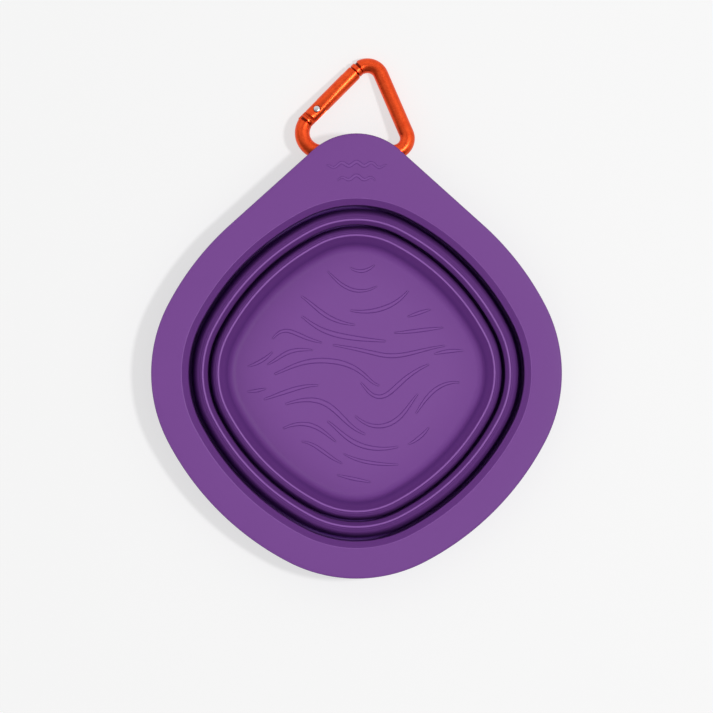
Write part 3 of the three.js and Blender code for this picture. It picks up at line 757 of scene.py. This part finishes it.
class FoldSizes:
    """Half-widths and heights of a fold's web and of the crest that stands over its top"""

    def __init__(self, bowl, web_node, crest_node):
        web_low, web_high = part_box(web_node)
        crest_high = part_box(crest_node)[1]
        self.foot = web_high.x - bowl.fold_wall / 2
        self.top = crest_high.x - bowl.fold_wall / 2
        self.foot_height = web_low.z
        self.top_height = web_high.z
        self.lip = crest_high.x
        self.lip_height = web_high.z + bowl.running_gap
        self.ridge_height = crest_high.z
        self.band_outer = self.lip - bowl.fold_wall - bowl.running_gap
        self.band_inner = self.band_outer - bowl.band_wall

    def crest_corners(self, bowl):
        """Corners of the crest, from the band's outer face over the ridge to its inner face"""
        ridge_height = self.ridge_height + RIDGE_LIFT * bowl.ridge_round
        return [
            (self.band_outer, self.lip_height, bowl.edge_round / 2, 0.0),
            (self.lip, self.lip_height, bowl.edge_round / 2, 0.0),
            # Painted highlight along the ridge.
            (self.lip - bowl.ridge_inset, ridge_height, bowl.ridge_round, RIDGE_HIGHLIGHT),
            (self.band_inner, ridge_height - bowl.crest_chamfer_drop, bowl.crest_foot_round, 0.0),
        ]

    def web_line(self, bowl, band_middle):
        """Centre line of the web: out of the band's foot, round the fold and up into the crest"""
        radius = (band_middle - self.foot) / 2
        bend = Vector((self.foot + radius, self.foot_height + bowl.edge_round))
        line = [Vector((band_middle, bend.y + bowl.band_wall / 2))]
        for step in range(WEB_BEND_STEPS + 1):
            line.append(bend + polar(radius, -math.pi * step / WEB_BEND_STEPS))
        foot = line[-1]
        top = Vector((self.top, self.top_height))
        shoulder = Vector((
            self.top + (self.foot - self.top) * bowl.shoulder_run,
            self.top_height - (self.top_height - self.foot_height) * bowl.shoulder_drop,
        ))
        before = shoulder.lerp(foot, SHOULDER_REACH)
        after = shoulder.lerp(top, SHOULDER_REACH)
        for step in range(SHOULDER_STEPS + 1):
            done = step / SHOULDER_STEPS
            line.append(before.lerp(shoulder, done).lerp(shoulder.lerp(after, done), done))
        line.append(top)
        line.append(top + Vector((-bowl.fold_wall / 4, bowl.fold_grip)))
        return line


# Raised bands on the floor and the tab.


# Steps along a band, how deep it is set into its ground, and its ends' part of its width.
BAND_STEP = 0.25 * MM
BAND_SUNK = 0.15 * MM
BAND_END = 0.4

# Waves of an imagined landscape on the floor: way of the wave in degrees, its length and height in
# millimetres, and its shift as a part of a turn. The landscape also rises evenly along Y.
FLOOR_WAVES = (
    (8, 62, 6.2, 0.12),
    (64, 47, 3.4, 0.55),
    (-38, 39, 2.6, 0.83),
)

# Bands along contour lines of that landscape: a place on the line, how far the band runs from there to
# the left and to the right, and its width in the middle, in millimetres. No band runs past the limit.
FLOOR_BAND_LIMIT = 46 * MM
FLOOR_BANDS = (
    (2, 41, 5, 6, 1.4),
    (-5, 35, 9, 14, 1.5),
    (-16, 26, 8, 17, 1.8),
    (26, 24.5, 6, 4, 1.5),
    (-28, 17, 7, 15, 1.7),
    (13, 27, 16, 10, 1.9),
    (-10, 16, 14, 22, 2.2),
    (24, 17, 9, 11, 1.6),
    (14, 7, 24, 22, 1.9),
    (39, 9, 8, 4, 1.6),
    (-30, 7, 7, 13, 1.7),
    (-40, 4, 4, 8, 1.5),
    (-12, 5, 22, 24, 2.2),
    (29, -9, 9, 14, 1.7),
    (-40, -7, 4, 4, 1.4),
    (-27, -7, 11, 12, 1.8),
    (13, -8, 14, 20, 2.0),
    (-13, -12, 16, 21, 2.2),
    (-18, -21, 12, 12, 1.8),
    (14, -20, 16, 16, 1.9),
    (2, -29, 17, 15, 2.0),
    (25, -26, 5, 6, 1.5),
    (-14, -31, 9, 10, 1.6),
    (6, -36, 12, 11, 1.5),
    (-3, -42, 5, 9, 1.4),
)


def along_contour(point):
    """Direction of the imagined landscape's contour line through a point"""
    slope = Vector((0.0, 1.0))
    for degrees, wavelength, height, shift in FLOOR_WAVES:
        way = polar(1.0, math.radians(degrees))
        number = TURN / (wavelength * MM)
        slope += way * (height * MM * number * math.cos(number * way.dot(point) + TURN * shift))
    return Vector((slope.y, -slope.x)).normalized()


def contour_line(start, reach):
    """Points of the contour line from the start on, to the left where the reach is negative"""
    step = math.copysign(BAND_STEP, reach)
    line = [start]
    while len(line) * BAND_STEP < abs(reach) and line[-1].length < FLOOR_BAND_LIMIT:
        middle = line[-1] + along_contour(line[-1]) * (step / 2)
        line.append(line[-1] + along_contour(middle) * step)
    return line


def raised_band(shape, line, width, side, height, ground):
    """Adds a flat-topped band along flat points, widest in its middle, with sloping sides"""
    last = len(line) - 1
    rows = []
    for index, point in enumerate(line):
        ahead = (line[min(index + 1, last)] - line[max(index - 1, 0)]).normalized()
        across = Vector((-ahead.y, ahead.x))
        swell = BAND_END + (1 - BAND_END) * math.sin(math.pi * index / last)
        foot = width / 2 * swell
        top = foot - min(side, foot / 2)
        left = [(-foot, -BAND_SUNK), (-foot, 0.0), (-top, height)]
        right = [(-offset, lift) for offset, lift in reversed(left)]
        rows.append([(*(point + across * offset), ground + lift) for offset, lift in left + right])
    # Painted shade at the band's feet and painted highlight on its top edges.
    shape.skin(rows, painted_light_across=BAND_PAINTED_LIGHT)


# Rows of raised waves on the tab: middle along Y, half-length and width in millimetres, and number of
# waves. Then the height of a wave, and how far a row sags at its ends.
TAB_WAVES = ((83.8, 12, 1.5, 4), (78.4, 7.5, 1.4, 2.5))
TAB_WAVE_HEIGHT = 0.75 * MM
TAB_WAVE_SAG = 1.3 * MM


def tab_wave(middle, half_length, waves):
    """Points of one row of waves, bent down towards its ends"""
    steps = round(2 * half_length / BAND_STEP)
    line = []
    for step in range(steps + 1):
        across = 2 * step / steps - 1
        lift = TAB_WAVE_HEIGHT * math.cos(math.pi * waves * across) - TAB_WAVE_SAG * across**2
        line.append(Vector((across * half_length, middle + lift)))
    return line


# Loop under the tab.


# Steps round the loop, how steeply its flare sets in, and what stands for no width in a division.
LOOP_STEPS = 72
LOOP_FLARE_POWER = 3
NEARLY_NONE = 1e-6


def loop_rows(bowl, carabiner):
    """Rows round the loop's hole, each a rounded section of its strap"""
    bar = Vector(JOINTS["carabiner_swing"]["pos_m"])
    hole = carabiner.rod_diameter / 2 + bowl.loop_clearance
    strap = hole + bowl.loop_strap
    underside = RIM_HIGH.z - bowl.flange_thickness - bar.z
    root = underside + bowl.flange_thickness / 2
    rows = []
    for step in range(LOOP_STEPS):
        angle = TURN * step / LOOP_STEPS
        way = polar(1.0, angle)
        reach = strap
        if way.y > 0:
            reach = min(strap / max(abs(way.x), NEARLY_NONE), root / way.y)
        climb = max(0.0, reach * way.y)
        flare = bowl.loop_flare * min(1.0, climb / underside) ** LOOP_FLARE_POWER
        half = bowl.loop_width / 2
        section = rounded([
            (-half, hole, bowl.edge_round, 0.0),
            (half, hole, bowl.edge_round, 0.0),
            (half, reach, bowl.edge_round, 0.0),
            (-half, reach, bowl.edge_round, 0.0),
        ])
        row = []
        for across, distance, _ in section:
            outwards = (distance - hole) / (reach - hole)
            point = way * distance
            swell = 1 + flare * outwards / half
            inwards = flare * outwards if point.x < -strap / 2 else 0.0
            row.append((across * swell, bar.y + point.x - inwards, bar.z + point.y))
        rows.append(row)
    return rows


# Carabiner.


# Faces round the rod, the gate and the wire. Then steps of a bend, of the tang's end, of a rivet's dome
# and of one coil.
ROD_SIDES = 40
GATE_SIDES = 64
WIRE_SIDES = 10
BEND_STEPS = 36
TANG_STEPS = 16
DOME_STEPS = 8
COIL_STEPS = 24

# Part of a rivet head's height that is domed.
DOME_PART = 0.6

# How far a cut runs past what it cuts, the degrees by which an edge turns that is bevelled, and the
# bevel's steps.
OVERCUT = 3 * MM
BEVELLED_EDGE = 50
BEVEL_STEPS = 2


class CarabinerPlane:
    """The carabiner's plane, with the bar along X through its origin and the apex out along Y"""

    def __init__(self, carabiner):
        swing, gate, push = (JOINTS[name] for name in ("carabiner_swing", "gate_open", "plunger_push"))
        up = -Vector(gate["axis"]).normalized()
        across = Vector(swing["axis"]).normalized()
        axes = Matrix((across, up.cross(across), up)).transposed().to_4x4()
        self.matrix = Matrix.Translation(Vector(swing["pos_m"])) @ axes
        local = self.matrix.inverted()
        rivet = local @ Vector(gate["pos_m"])
        along = local.to_3x3() @ Vector(push["axis"])
        self.gate_angle = math.atan2(along.y, along.x)
        turned = Matrix.Rotation(self.gate_angle, 4, "Z")
        self.gate_matrix = self.matrix @ Matrix.Translation((rivet.x, rivet.y, 0)) @ turned

        self.normal = self.gate_angle + QUARTER_TURN
        self.hinge = Vector((carabiner.hinge_corner, carabiner.hinge_corner_radius))
        self.plain = Vector((carabiner.plain_corner, carabiner.plain_corner_radius))
        self.apex = Vector((carabiner.apex_across, carabiner.apex_out))
        bend_end = self.hinge + polar(carabiner.hinge_corner_radius, self.normal)
        nose_start = self.apex + polar(carabiner.apex_radius, self.normal)
        self.rivet_along = (rivet.to_2d() - bend_end).length
        self.side_length = (nose_start - bend_end).length
        self.hinge_end = -self.rivet_along - carabiner.hinge_shoulder
        self.nose_start = self.side_length - self.rivet_along + carabiner.nose_shoulder
        self.fork_end = carabiner.gate_setback - self.rivet_along
        self.nose_end = self.side_length - carabiner.gate_setback - self.rivet_along

    def rod_line(self, carabiner):
        """Points and outward normals' angles of the rod's centre line, from hinge to nose shoulder"""
        between = self.apex - self.plain
        taper = math.asin((carabiner.plain_corner_radius - carabiner.apex_radius) / between.length)
        plain_normal = math.atan2(between.y, between.x) + taper - QUARTER_TURN
        hinge_end = self.normal + carabiner.hinge_shoulder / carabiner.hinge_corner_radius
        nose_end = self.normal - carabiner.nose_shoulder / carabiner.apex_radius
        bends = (
            (self.hinge, carabiner.hinge_corner_radius, hinge_end, 3 * QUARTER_TURN),
            (self.plain, carabiner.plain_corner_radius, -QUARTER_TURN, plain_normal),
            (self.apex, carabiner.apex_radius, plain_normal, nose_end),
        )
        line = []
        for centre, radius, start, end in bends:
            for step in range(BEND_STEPS + 1):
                angle = start + (end - start) * step / BEND_STEPS
                line.append((centre + polar(radius, angle), angle))
        return line


def rod_rows(line, radius, bevel):
    """Round sections along a flat line, with bevelled ends"""
    rows = []
    last = len(line) - 1
    for index, (point, angle) in enumerate(line):
        if index == last:
            rows.append(rod_row(point, angle, radius, -bevel))
        rows.append(rod_row(point, angle, radius - bevel if index in (0, last) else radius, 0.0))
        if index == 0:
            rows.append(rod_row(point, angle, radius, bevel))
    return rows


def rod_row(point, angle, radius, ahead):
    """One round section, square to the line and moved ahead along it"""
    centre = point + polar(ahead, angle + QUARTER_TURN)
    row = []
    for side in range(ROD_SIDES):
        turn = polar(radius, TURN * side / ROD_SIDES)
        row.append((*(centre + polar(turn.x, angle)), turn.y))
    return row


def bevelled(start, end, radius, bevel):
    """Profile of a bar with bevelled ends, as distances along and radii"""
    return [(start, radius - bevel), (start + bevel, radius), (end - bevel, radius), (end, radius - bevel)]


def turned_rows(profile, sides, axis):
    """Round sections along X or Z, for each (distance along, radius) of a profile"""
    rows = []
    for along, radius in profile:
        row = []
        for side in range(sides):
            turn = polar(radius, TURN * (side + 0.5) / sides)
            row.append((along, turn.x, turn.y) if axis == "X" else (turn.x, turn.y, along))
        rows.append(row)
    return rows


def coil_rows(carabiner, start, end):
    """Round sections of a coiled wire along X"""
    wire = carabiner.spring_wire / 2
    coil = carabiner.bore_diameter / 2 - carabiner.spring_gap - wire
    steps = carabiner.spring_turns * COIL_STEPS
    rows = []
    for step in range(steps + 1):
        angle = TURN * step / COIL_STEPS
        along = start + wire + (end - start - 2 * wire) * step / steps
        row = []
        for side in range(WIRE_SIDES):
            turn = polar(wire, TURN * side / WIRE_SIDES)
            row.append((along + turn.x, *polar(coil + turn.y, angle)))
        rows.append(row)
    return rows


def plate_rows(outline, thickness, bevel=0.0):
    """Layers of a flat plate whose edges are bevelled"""
    layers = [(-thickness / 2, bevel), (bevel - thickness / 2, 0.0)]
    layers += [(-height, inset) for height, inset in reversed(layers)]
    if bevel == 0:
        layers = [layers[0], layers[-1]]
    rows = []
    for height, inset in layers:
        row = []
        for index, point in enumerate(outline):
            before, after = outline[index - 1], outline[(index + 1) % len(outline)]
            ahead = (after - before).normalized()
            inwards = Vector((-ahead.y, ahead.x)) * inset
            row.append((*(point + inwards), height))
        rows.append(row)
    return rows


def rectangle(left, bottom, right, top):
    """Corners of a rectangle, in turn"""
    return [Vector(corner) for corner in ((left, bottom), (right, bottom), (right, top), (left, top))]


def tang_outline(carabiner, root, fork_end):
    """The tang: as wide as a collar as far as the gate, narrower inside it and round behind the rivet"""
    wide = carabiner.collar_diameter / 2
    narrow = carabiner.tang_half_width
    step_end = fork_end + wide - narrow
    turns = [math.pi * (step / TANG_STEPS - 0.5) for step in range(TANG_STEPS + 1)]
    end = [polar(carabiner.tang_end_radius, turn) for turn in turns]
    neck = [Vector((root, wide)), Vector((fork_end, wide)), Vector((step_end, narrow))]
    return [*(Vector((point.x, -point.y)) for point in neck), *end, *reversed(neck)]


def neck_profile(carabiner, shoulder, way, collar_length):
    """A neck out of the rod's shoulder with a collar of that length on it, along the gate or back"""
    neck = carabiner.neck_diameter / 2
    start = carabiner.collar_gap
    end = start + collar_length
    collar = bevelled(start, end, carabiner.collar_diameter / 2, carabiner.collar_bevel)
    profile = [(-carabiner.plate_grip, neck), (start, neck), *collar]
    return [(shoulder + way * along, radius) for along, radius in profile]


# Operators.


class BOWL_OT_make_rim(Operator):
    """Make the rim flange with its tab, upper wall band and carrying loop"""

    bl_idname = "bowl.make_rim"
    bl_label = "Rim flange"

    def execute(self, context):
        bowl = context.scene.bowl
        plan = BowlPlan(bowl)
        outline = FlangeOutline(plan, bowl)
        top = RIM_HIGH.z - bowl.tab_relief
        underside = RIM_HIGH.z - bowl.flange_thickness
        foot = RIM_LOW.z
        wall_top = bowl.mouth - bowl.mouth_chamfer_run
        wall_foot = wall_top - bowl.upper_band_lean
        # Painted highlights on the mouth's edge, the chamfer's foot and the flange's outer edge.
        profile = rounded([
            (bowl.mouth, top, bowl.mouth_round, MOUTH_HIGHLIGHT),
            (wall_top, top - bowl.mouth_chamfer_drop, bowl.edge_round, CHAMFER_HIGHLIGHT),
            (wall_foot, foot, bowl.edge_round, 0.0),
            (wall_foot + bowl.band_wall, foot, bowl.edge_round, 0.0),
            (wall_top + bowl.band_wall, underside, bowl.flange_root_round, 0.0),
            (bowl.flange_outer, underside, bowl.flange_edge_round, 0.0),
            (bowl.flange_outer, top - bowl.flange_crown_drop, bowl.flange_edge_round, FLANGE_HIGHLIGHT),
            (bowl.flange_outer - bowl.flange_crown_run, top, 0.0, 0.0),
        ])
        middle = (bowl.mouth + bowl.flange_outer) / 2

        def flange_point(half_width, angle):
            ring = outline if half_width > middle else plan
            return ring.point(half_width, angle)

        shape = plan.ring(profile, flange_point)
        shape.skin(loop_rows(bowl, context.scene.carabiner), wrap=True)
        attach(moulded(bowl, shape, "rim_moulding", "rim_flange"), "rim")

        waves = Shape()
        for along, half_length, width, count in TAB_WAVES:
            line = tab_wave(along * MM, half_length * MM, count)
            raised_band(waves, line, width * MM, bowl.relief_side, bowl.tab_relief, top)
        relief = moulded(bowl, waves, "tab_waves")
        sharpen(relief, CRISP_RELIEF)
        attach(relief, "rim")
        return {"FINISHED"}


class BOWL_OT_make_middle_ring(Operator):
    """Make the middle wall band under its ridged crest"""

    bl_idname = "bowl.make_middle_ring"
    bl_label = "Middle ring"

    def execute(self, context):
        bowl = context.scene.bowl
        fold = FoldSizes(bowl, "upper_fold", "middle_ring")
        foot_inner = fold.band_inner - bowl.middle_band_lean
        profile = rounded([
            (foot_inner, fold.foot_height, bowl.edge_round, 0.0),
            (foot_inner + bowl.band_wall, fold.foot_height, bowl.edge_round, 0.0),
            *fold.crest_corners(bowl),
        ])
        shape = BowlPlan(bowl).ring(profile)
        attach(moulded(bowl, shape, "middle_moulding", "middle_ring"), "middle")
        return {"FINISHED"}


class BOWL_OT_make_base_cup(Operator):
    """Make the base cup with its filleted floor and the raised bands on it"""

    bl_idname = "bowl.make_base_cup"
    bl_label = "Base cup"

    def execute(self, context):
        bowl = context.scene.bowl
        fold = FoldSizes(bowl, "lower_fold", "base_cup")
        floor = bowl.floor_thickness
        crest = fold.crest_corners(bowl)
        wall_width = (crest[-1][0] + bowl.floor_corner) / 2
        profile = rounded([
            (bowl.core_width, 0.0, 0.0, 0.0),
            (bowl.underside_corner, 0.0, bowl.floor_fillet, 0.0),
            *crest,
            # Painted shade on the inner wall and the fillet, and painted light on the floor.
            (wall_width, (crest[-1][1] + floor) / 2, 0.0, WALL_PAINTED_SHADE),
            (bowl.floor_corner, floor, bowl.floor_fillet, FILLET_PAINTED_SHADE),
            (bowl.core_width, floor, 0.0, FLOOR_PAINTED_LIGHT),
        ])
        shape = BowlPlan(bowl).ring(profile, wrap=False)
        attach(moulded(bowl, shape, "base_moulding", "base_cup"), "base")

        bands = Shape()
        for across, along, left, right, width in FLOOR_BANDS:
            start = Vector((across, along)) * MM
            line = contour_line(start, -left * MM)[:0:-1] + contour_line(start, right * MM)
            raised_band(bands, line, width * MM, bowl.relief_side, bowl.floor_relief, floor)
        relief = moulded(bowl, bands, "floor_bands")
        sharpen(relief, CRISP_RELIEF)
        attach(relief, "base")
        return {"FINISHED"}


class BOWL_OT_make_folds(Operator):
    """Make the two thin webs, folded up between the wall bands"""

    bl_idname = "bowl.make_folds"
    bl_label = "Folds"

    def execute(self, context):
        bowl = context.scene.bowl
        upper = FoldSizes(bowl, "upper_fold", "middle_ring")
        lower = FoldSizes(bowl, "lower_fold", "base_cup")
        rim_foot = bowl.mouth - bowl.mouth_chamfer_run - bowl.upper_band_lean
        middle_foot = upper.band_inner - bowl.middle_band_lean
        self.make_web(bowl, "upper_web", "upper_fold", upper, rim_foot, ("rim", "middle"))
        self.make_web(bowl, "lower_web", "lower_fold", lower, middle_foot, ("middle", "base"))
        return {"FINISHED"}

    def make_web(self, bowl, name, node, fold, band_foot, bodies):
        """One web, out of the foot of the band outside it, round its fold and up into the crest inside it
        """
        line = fold.web_line(bowl, band_foot + bowl.band_wall / 2)
        profile = ribbon(line, bowl.fold_wall, fold.top_height - bowl.fold_wall)
        web = moulded(bowl, BowlPlan(bowl).ring(profile), name, node)
        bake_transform(web)


class BOWL_OT_make_carabiner_body(Operator):
    """Make the carabiner's bent rod with its tang, its tongue and its collars"""

    bl_idname = "bowl.make_carabiner_body"
    bl_label = "Carabiner body"

    def execute(self, context):
        carabiner = context.scene.carabiner
        plane = CarabinerPlane(carabiner)
        grip = carabiner.plate_grip
        line = plane.rod_line(carabiner)
        sections = rod_rows(line, carabiner.rod_diameter / 2, carabiner.shoulder_round)
        rod = skinned("carabiner_rod", sections, plane.matrix)

        plates = Shape()
        outline = tang_outline(carabiner, plane.hinge_end - grip, plane.fork_end)
        plates.skin(plate_rows(outline, carabiner.tang_thickness, carabiner.plate_bevel))
        tip = plane.nose_end - carabiner.tongue_reach
        root = plane.nose_start + grip
        outline = rectangle(tip, -carabiner.tongue_inside, root, carabiner.tongue_outside)
        plates.skin(plate_rows(outline, carabiner.tang_thickness, carabiner.plate_bevel))
        tang = plates.build("tang_and_tongue", plane.gate_matrix)
        radius = carabiner.rivet_diameter / 2 + carabiner.rivet_gap
        hole = turned_rows([(-OVERCUT, radius), (OVERCUT, radius)], GATE_SIDES, "Z")
        carve(tang, [skinned("rivet_hole", hole, plane.gate_matrix)])

        collars = Shape()
        hinge_neck = neck_profile(carabiner, plane.hinge_end, 1, carabiner.hinge_collar)
        nose_neck = neck_profile(carabiner, plane.nose_start, -1, carabiner.nose_collar)
        for profile in (hinge_neck, nose_neck):
            # Painted shade on the necks and the collars' ends.
            collars.skin(turned_rows(profile, GATE_SIDES, "X"), painted_light=COLLAR_PAINTED_SHADE)
        necks = collars.build("neck_collars", plane.gate_matrix)

        for piece in (rod, tang, necks):
            sharpen(piece)
            dress(piece, anodised_finish(carabiner))
            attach(piece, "carabiner")
        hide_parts("carabiner_body")
        return {"FINISHED"}


class BOWL_OT_make_carabiner_gate(Operator):
    """Make the carabiner's gate with its slots, spring bore and rivet seats"""

    bl_idname = "bowl.make_carabiner_gate"
    bl_label = "Carabiner gate"

    def execute(self, context):
        carabiner = context.scene.carabiner
        plane = CarabinerPlane(carabiner)
        radius = carabiner.gate_diameter / 2
        profile = bevelled(plane.fork_end, plane.nose_end, radius, carabiner.shoulder_round)
        gate = skinned("gate_bar", turned_rows(profile, GATE_SIDES, "X"), plane.gate_matrix)
        carve(gate, self.cutters(carabiner, plane))
        edges = gate.modifiers.new("edges", "BEVEL")
        edges.width = carabiner.cut_bevel
        edges.segments = BEVEL_STEPS
        edges.limit_method = "ANGLE"
        edges.angle_limit = math.radians(BEVELLED_EDGE)
        apply_modifiers(gate)
        gate.data.shade_smooth()
        sharpen(gate)
        dress(gate, anodised_finish(carabiner), "carabiner_gate")
        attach(gate, "gate")
        return {"FINISHED"}

    def cutters(self, carabiner, plane):
        """Tools for the hinge slot, the nose notch, the spring's bore and the rivet's hole and seats"""
        wide = carabiner.gate_diameter
        gap = carabiner.rivet_gap
        slot = rectangle(plane.fork_end - OVERCUT, -wide, carabiner.slot_depth, wide)
        notch_start = plane.nose_end - carabiner.notch_depth
        notch_inside = -carabiner.tongue_inside - gap
        notch = rectangle(notch_start, notch_inside, plane.nose_end + OVERCUT, wide)
        bore = [(along, carabiner.bore_diameter / 2) for along in (0.0, carabiner.bore_depth)]
        hole = carabiner.rivet_diameter / 2 + gap
        seat = carabiner.rivet_head / 2 + gap
        seat_floor = wide / 2 + carabiner.rivet_proud - carabiner.rivet_head_height - gap
        rivet = [(-wide, seat), (-seat_floor, seat), (-seat_floor, hole)]
        rivet += [(-along, radius) for along, radius in reversed(rivet)]
        tools = {
            "slot": plate_rows(slot, carabiner.slot_width),
            "notch": plate_rows(notch, carabiner.slot_width),
            "bore": turned_rows(bore, GATE_SIDES, "X"),
            "rivet": turned_rows(rivet, GATE_SIDES, "Z"),
        }
        return [skinned(name, rows, plane.gate_matrix) for name, rows in tools.items()]


class BOWL_OT_make_rivet(Operator):
    """Make the gate's rivet with its domed heads"""

    bl_idname = "bowl.make_rivet"
    bl_label = "Gate rivet"

    def execute(self, context):
        carabiner = context.scene.carabiner
        plane = CarabinerPlane(carabiner)
        top = carabiner.gate_diameter / 2 + carabiner.rivet_proud
        under = top - carabiner.rivet_head_height
        head = carabiner.rivet_head / 2
        shank = carabiner.rivet_diameter / 2
        dome = []
        for step in range(1, DOME_STEPS + 1):
            wide = math.sin(QUARTER_TURN * step / DOME_STEPS)
            drop = carabiner.rivet_head_height * DOME_PART * (1 - math.sqrt(1 - wide**2))
            dome.append((top - drop, head * wide))
        half = [*dome, (under, head), (under, shank)]
        profile = half + [(-along, radius) for along, radius in reversed(half)]
        rivet = skinned("gate_rivet", turned_rows(profile, GATE_SIDES, "Z"), plane.gate_matrix)
        sharpen(rivet, CRISP_RIVET)
        dress(rivet, steel_finish(carabiner), "gate_hinge_rivet")
        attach(rivet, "carabiner")
        return {"FINISHED"}


class BOWL_OT_make_spring(Operator):
    """Make the coil spring inside the gate and give its plunger its steel"""

    bl_idname = "bowl.make_spring"
    bl_label = "Gate spring"

    def execute(self, context):
        carabiner = context.scene.carabiner
        plane = CarabinerPlane(carabiner)
        end = carabiner.bore_depth - carabiner.spring_gap
        start = end - carabiner.spring_length
        spring = skinned("coil_spring", coil_rows(carabiner, start, end), plane.gate_matrix)
        dress(spring, steel_finish(carabiner), "gate_spring")
        fixed, pushed = (plane.gate_matrix @ Vector((along, 0, 0)) for along in (end, start))
        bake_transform(spring)
        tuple(fixed)
        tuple(pushed)

        plunger = frame["nodes"]["spring_plunger"].data
        plunger.materials.clear()
        plunger.materials.append(steel_finish(carabiner))
        return {"FINISHED"}


# Where the tent's opening starts and is darkest, by how far up a look goes, where its open side does, by
# how far towards it a look goes, and where its walls show in full, by how far up.
OPENING_EDGE = (0.77, 0.98)
FLAP_EDGE = (-0.1, 0.35)
WALL_EDGE = (0.1, 0.3)


class BOWL_OT_make_stage(Operator):
    """Make the pale floor, the soft light and the camera"""

    bl_idname = "bowl.make_stage"
    bl_label = "Stage"

    def execute(self, context):
        scene = context.scene
        stage = scene.stage
        floor = self.make_floor(scene, stage)
        self.make_lamps(scene, stage, floor)
        self.make_tent(scene, stage)
        self.make_camera(scene, stage)
        scene.view_settings.view_transform = "Standard"
        return {"FINISHED"}

    def make_floor(self, scene, stage):
        """A plain sheet of paper"""
        half = stage.floor_size / 2
        mesh = bpy.data.meshes.new("floor")
        corners = [(-half, -half, 0), (half, -half, 0), (half, half, 0), (-half, half, 0)]
        mesh.from_pydata(corners, [], [(0, 1, 2, 3)])
        mesh.materials.append(floor_finish(stage))
        floor = bpy.data.objects.new("floor", mesh)
        scene.collection.objects.link(floor)
        return floor

    def make_lamps(self, scene, stage, floor):
        """A small lamp on the right and a wide one on the left, which spares the floor"""
        self.make_lamp(scene, "right_lamp", stage.right_lean, stage.right_size, stage.right_light)
        fill = self.make_lamp(scene, "left_fill", -stage.left_lean, stage.left_size, stage.left_light)
        fill.visible_glossy = False
        spared = bpy.data.collections.new("spared_by_fill")
        spared.objects.link(floor)
        spared.collection_objects[0].light_linking.link_state = "EXCLUDE"
        fill.light_linking.receiver_collection = spared

    def make_tent(self, scene, stage):
        """A pale tent round the bowl, with an opening overhead and an open side that the metal shows"""
        scene.world = bpy.data.worlds.new("light_tent")
        shading = Shading(scene.world)
        way = shading.node("ShaderNodeTexCoord", output="Generated")
        across, along, rise = (shading.axis(way, name) for name in "XYZ")
        opening = shading.clamped(rise, *OPENING_EDGE)
        aside = across * math.cos(stage.flap_turn) + along * math.sin(stage.flap_turn)
        flap = shading.clamped(aside, *FLAP_EDGE)
        walls = stage.tent_glow - (stage.tent_glow + stage.tent_flap) * flap
        shed = stage.horizon_light + (stage.zenith_light - stage.horizon_light) * rise * rise
        walls_look = 1 + walls * shading.clamped(rise, *WALL_EDGE)
        look = stage.backdrop[0] * walls_look * (1 - stage.tent_opening * opening)
        looked_at = shading.looked_at()
        strength = shed * (1 - looked_at) + look * looked_at
        grey = opaque([TENT_GREY] * 3)
        background = shading.node("ShaderNodeBackground", None, {"Color": grey, "Strength": strength})
        shading.node("ShaderNodeOutputWorld", None, {"Surface": background})

    def make_lamp(self, scene, name, lean, size, part):
        """A square lamp, leaning over to the right, that would give that part of a white floor's light"""
        stage = scene.stage
        light = bpy.data.lights.new(name, "AREA")
        light.size = size
        light.energy = part * (math.pi * stage.lamp_distance) ** 2 / math.cos(lean)
        lamp = bpy.data.objects.new(name, light)
        turned = Matrix.Rotation(stage.lamp_turn, 4, "Z") @ Matrix.Rotation(lean, 4, "Y")
        lamp.matrix_world = turned @ Matrix.Translation((0, 0, stage.lamp_distance))
        scene.collection.objects.link(lamp)
        return lamp

    def make_camera(self, scene, stage):
        """A camera that looks straight down on the bowl"""
        camera = bpy.data.cameras.new("camera")
        camera.lens = camera.sensor_width * stage.camera_distance / stage.view_width
        viewer = bpy.data.objects.new("camera", camera)
        viewer.location = (0, stage.view_centre, RIM_HIGH.z + stage.camera_distance)
        scene.collection.objects.link(viewer)
        scene.camera = viewer


class VIEW3D_PT_bowl(Panel):
    """Pieces and settings of the bowl"""

    bl_label = "Collapsible bowl"
    bl_space_type = "VIEW_3D"
    bl_region_type = "UI"
    bl_category = "Bowl"

    def draw(self, context):
        for operator in OPERATORS:
            self.layout.operator(operator.bl_idname)
        for settings in (context.scene.bowl, context.scene.carabiner, context.scene.stage):
            box = self.layout.box()
            for name in settings.__annotations__:
                box.prop(settings, name)


SETTINGS = {"bowl": BowlSettings, "carabiner": CarabinerSettings, "stage": StageSettings}
OPERATORS = (
    BOWL_OT_make_stage,
    BOWL_OT_make_rim,
    BOWL_OT_make_middle_ring,
    BOWL_OT_make_base_cup,
    BOWL_OT_make_folds,
    BOWL_OT_make_carabiner_body,
    BOWL_OT_make_carabiner_gate,
    BOWL_OT_make_rivet,
    BOWL_OT_make_spring,
)


def register():
    for settings in SETTINGS.values():
        bpy.utils.register_class(settings)
    for name, settings in SETTINGS.items():
        setattr(bpy.types.Scene, name, PointerProperty(type=settings))
    for made in (*OPERATORS, VIEW3D_PT_bowl):
        bpy.utils.register_class(made)


def unregister():
    for made in (VIEW3D_PT_bowl, *reversed(OPERATORS)):
        bpy.utils.unregister_class(made)
    for name, settings in SETTINGS.items():
        delattr(bpy.types.Scene, name)
        bpy.utils.unregister_class(settings)


def main():
    register()
    bpy.ops.bowl.make_stage()
    bpy.ops.bowl.make_rim()
    bpy.ops.bowl.make_middle_ring()
    bpy.ops.bowl.make_base_cup()
    bpy.ops.bowl.make_folds()
    bpy.ops.bowl.make_carabiner_body()
    bpy.ops.bowl.make_carabiner_gate()
    bpy.ops.bowl.make_rivet()
    bpy.ops.bowl.make_spring()


if __name__ == "__main__":
    main()
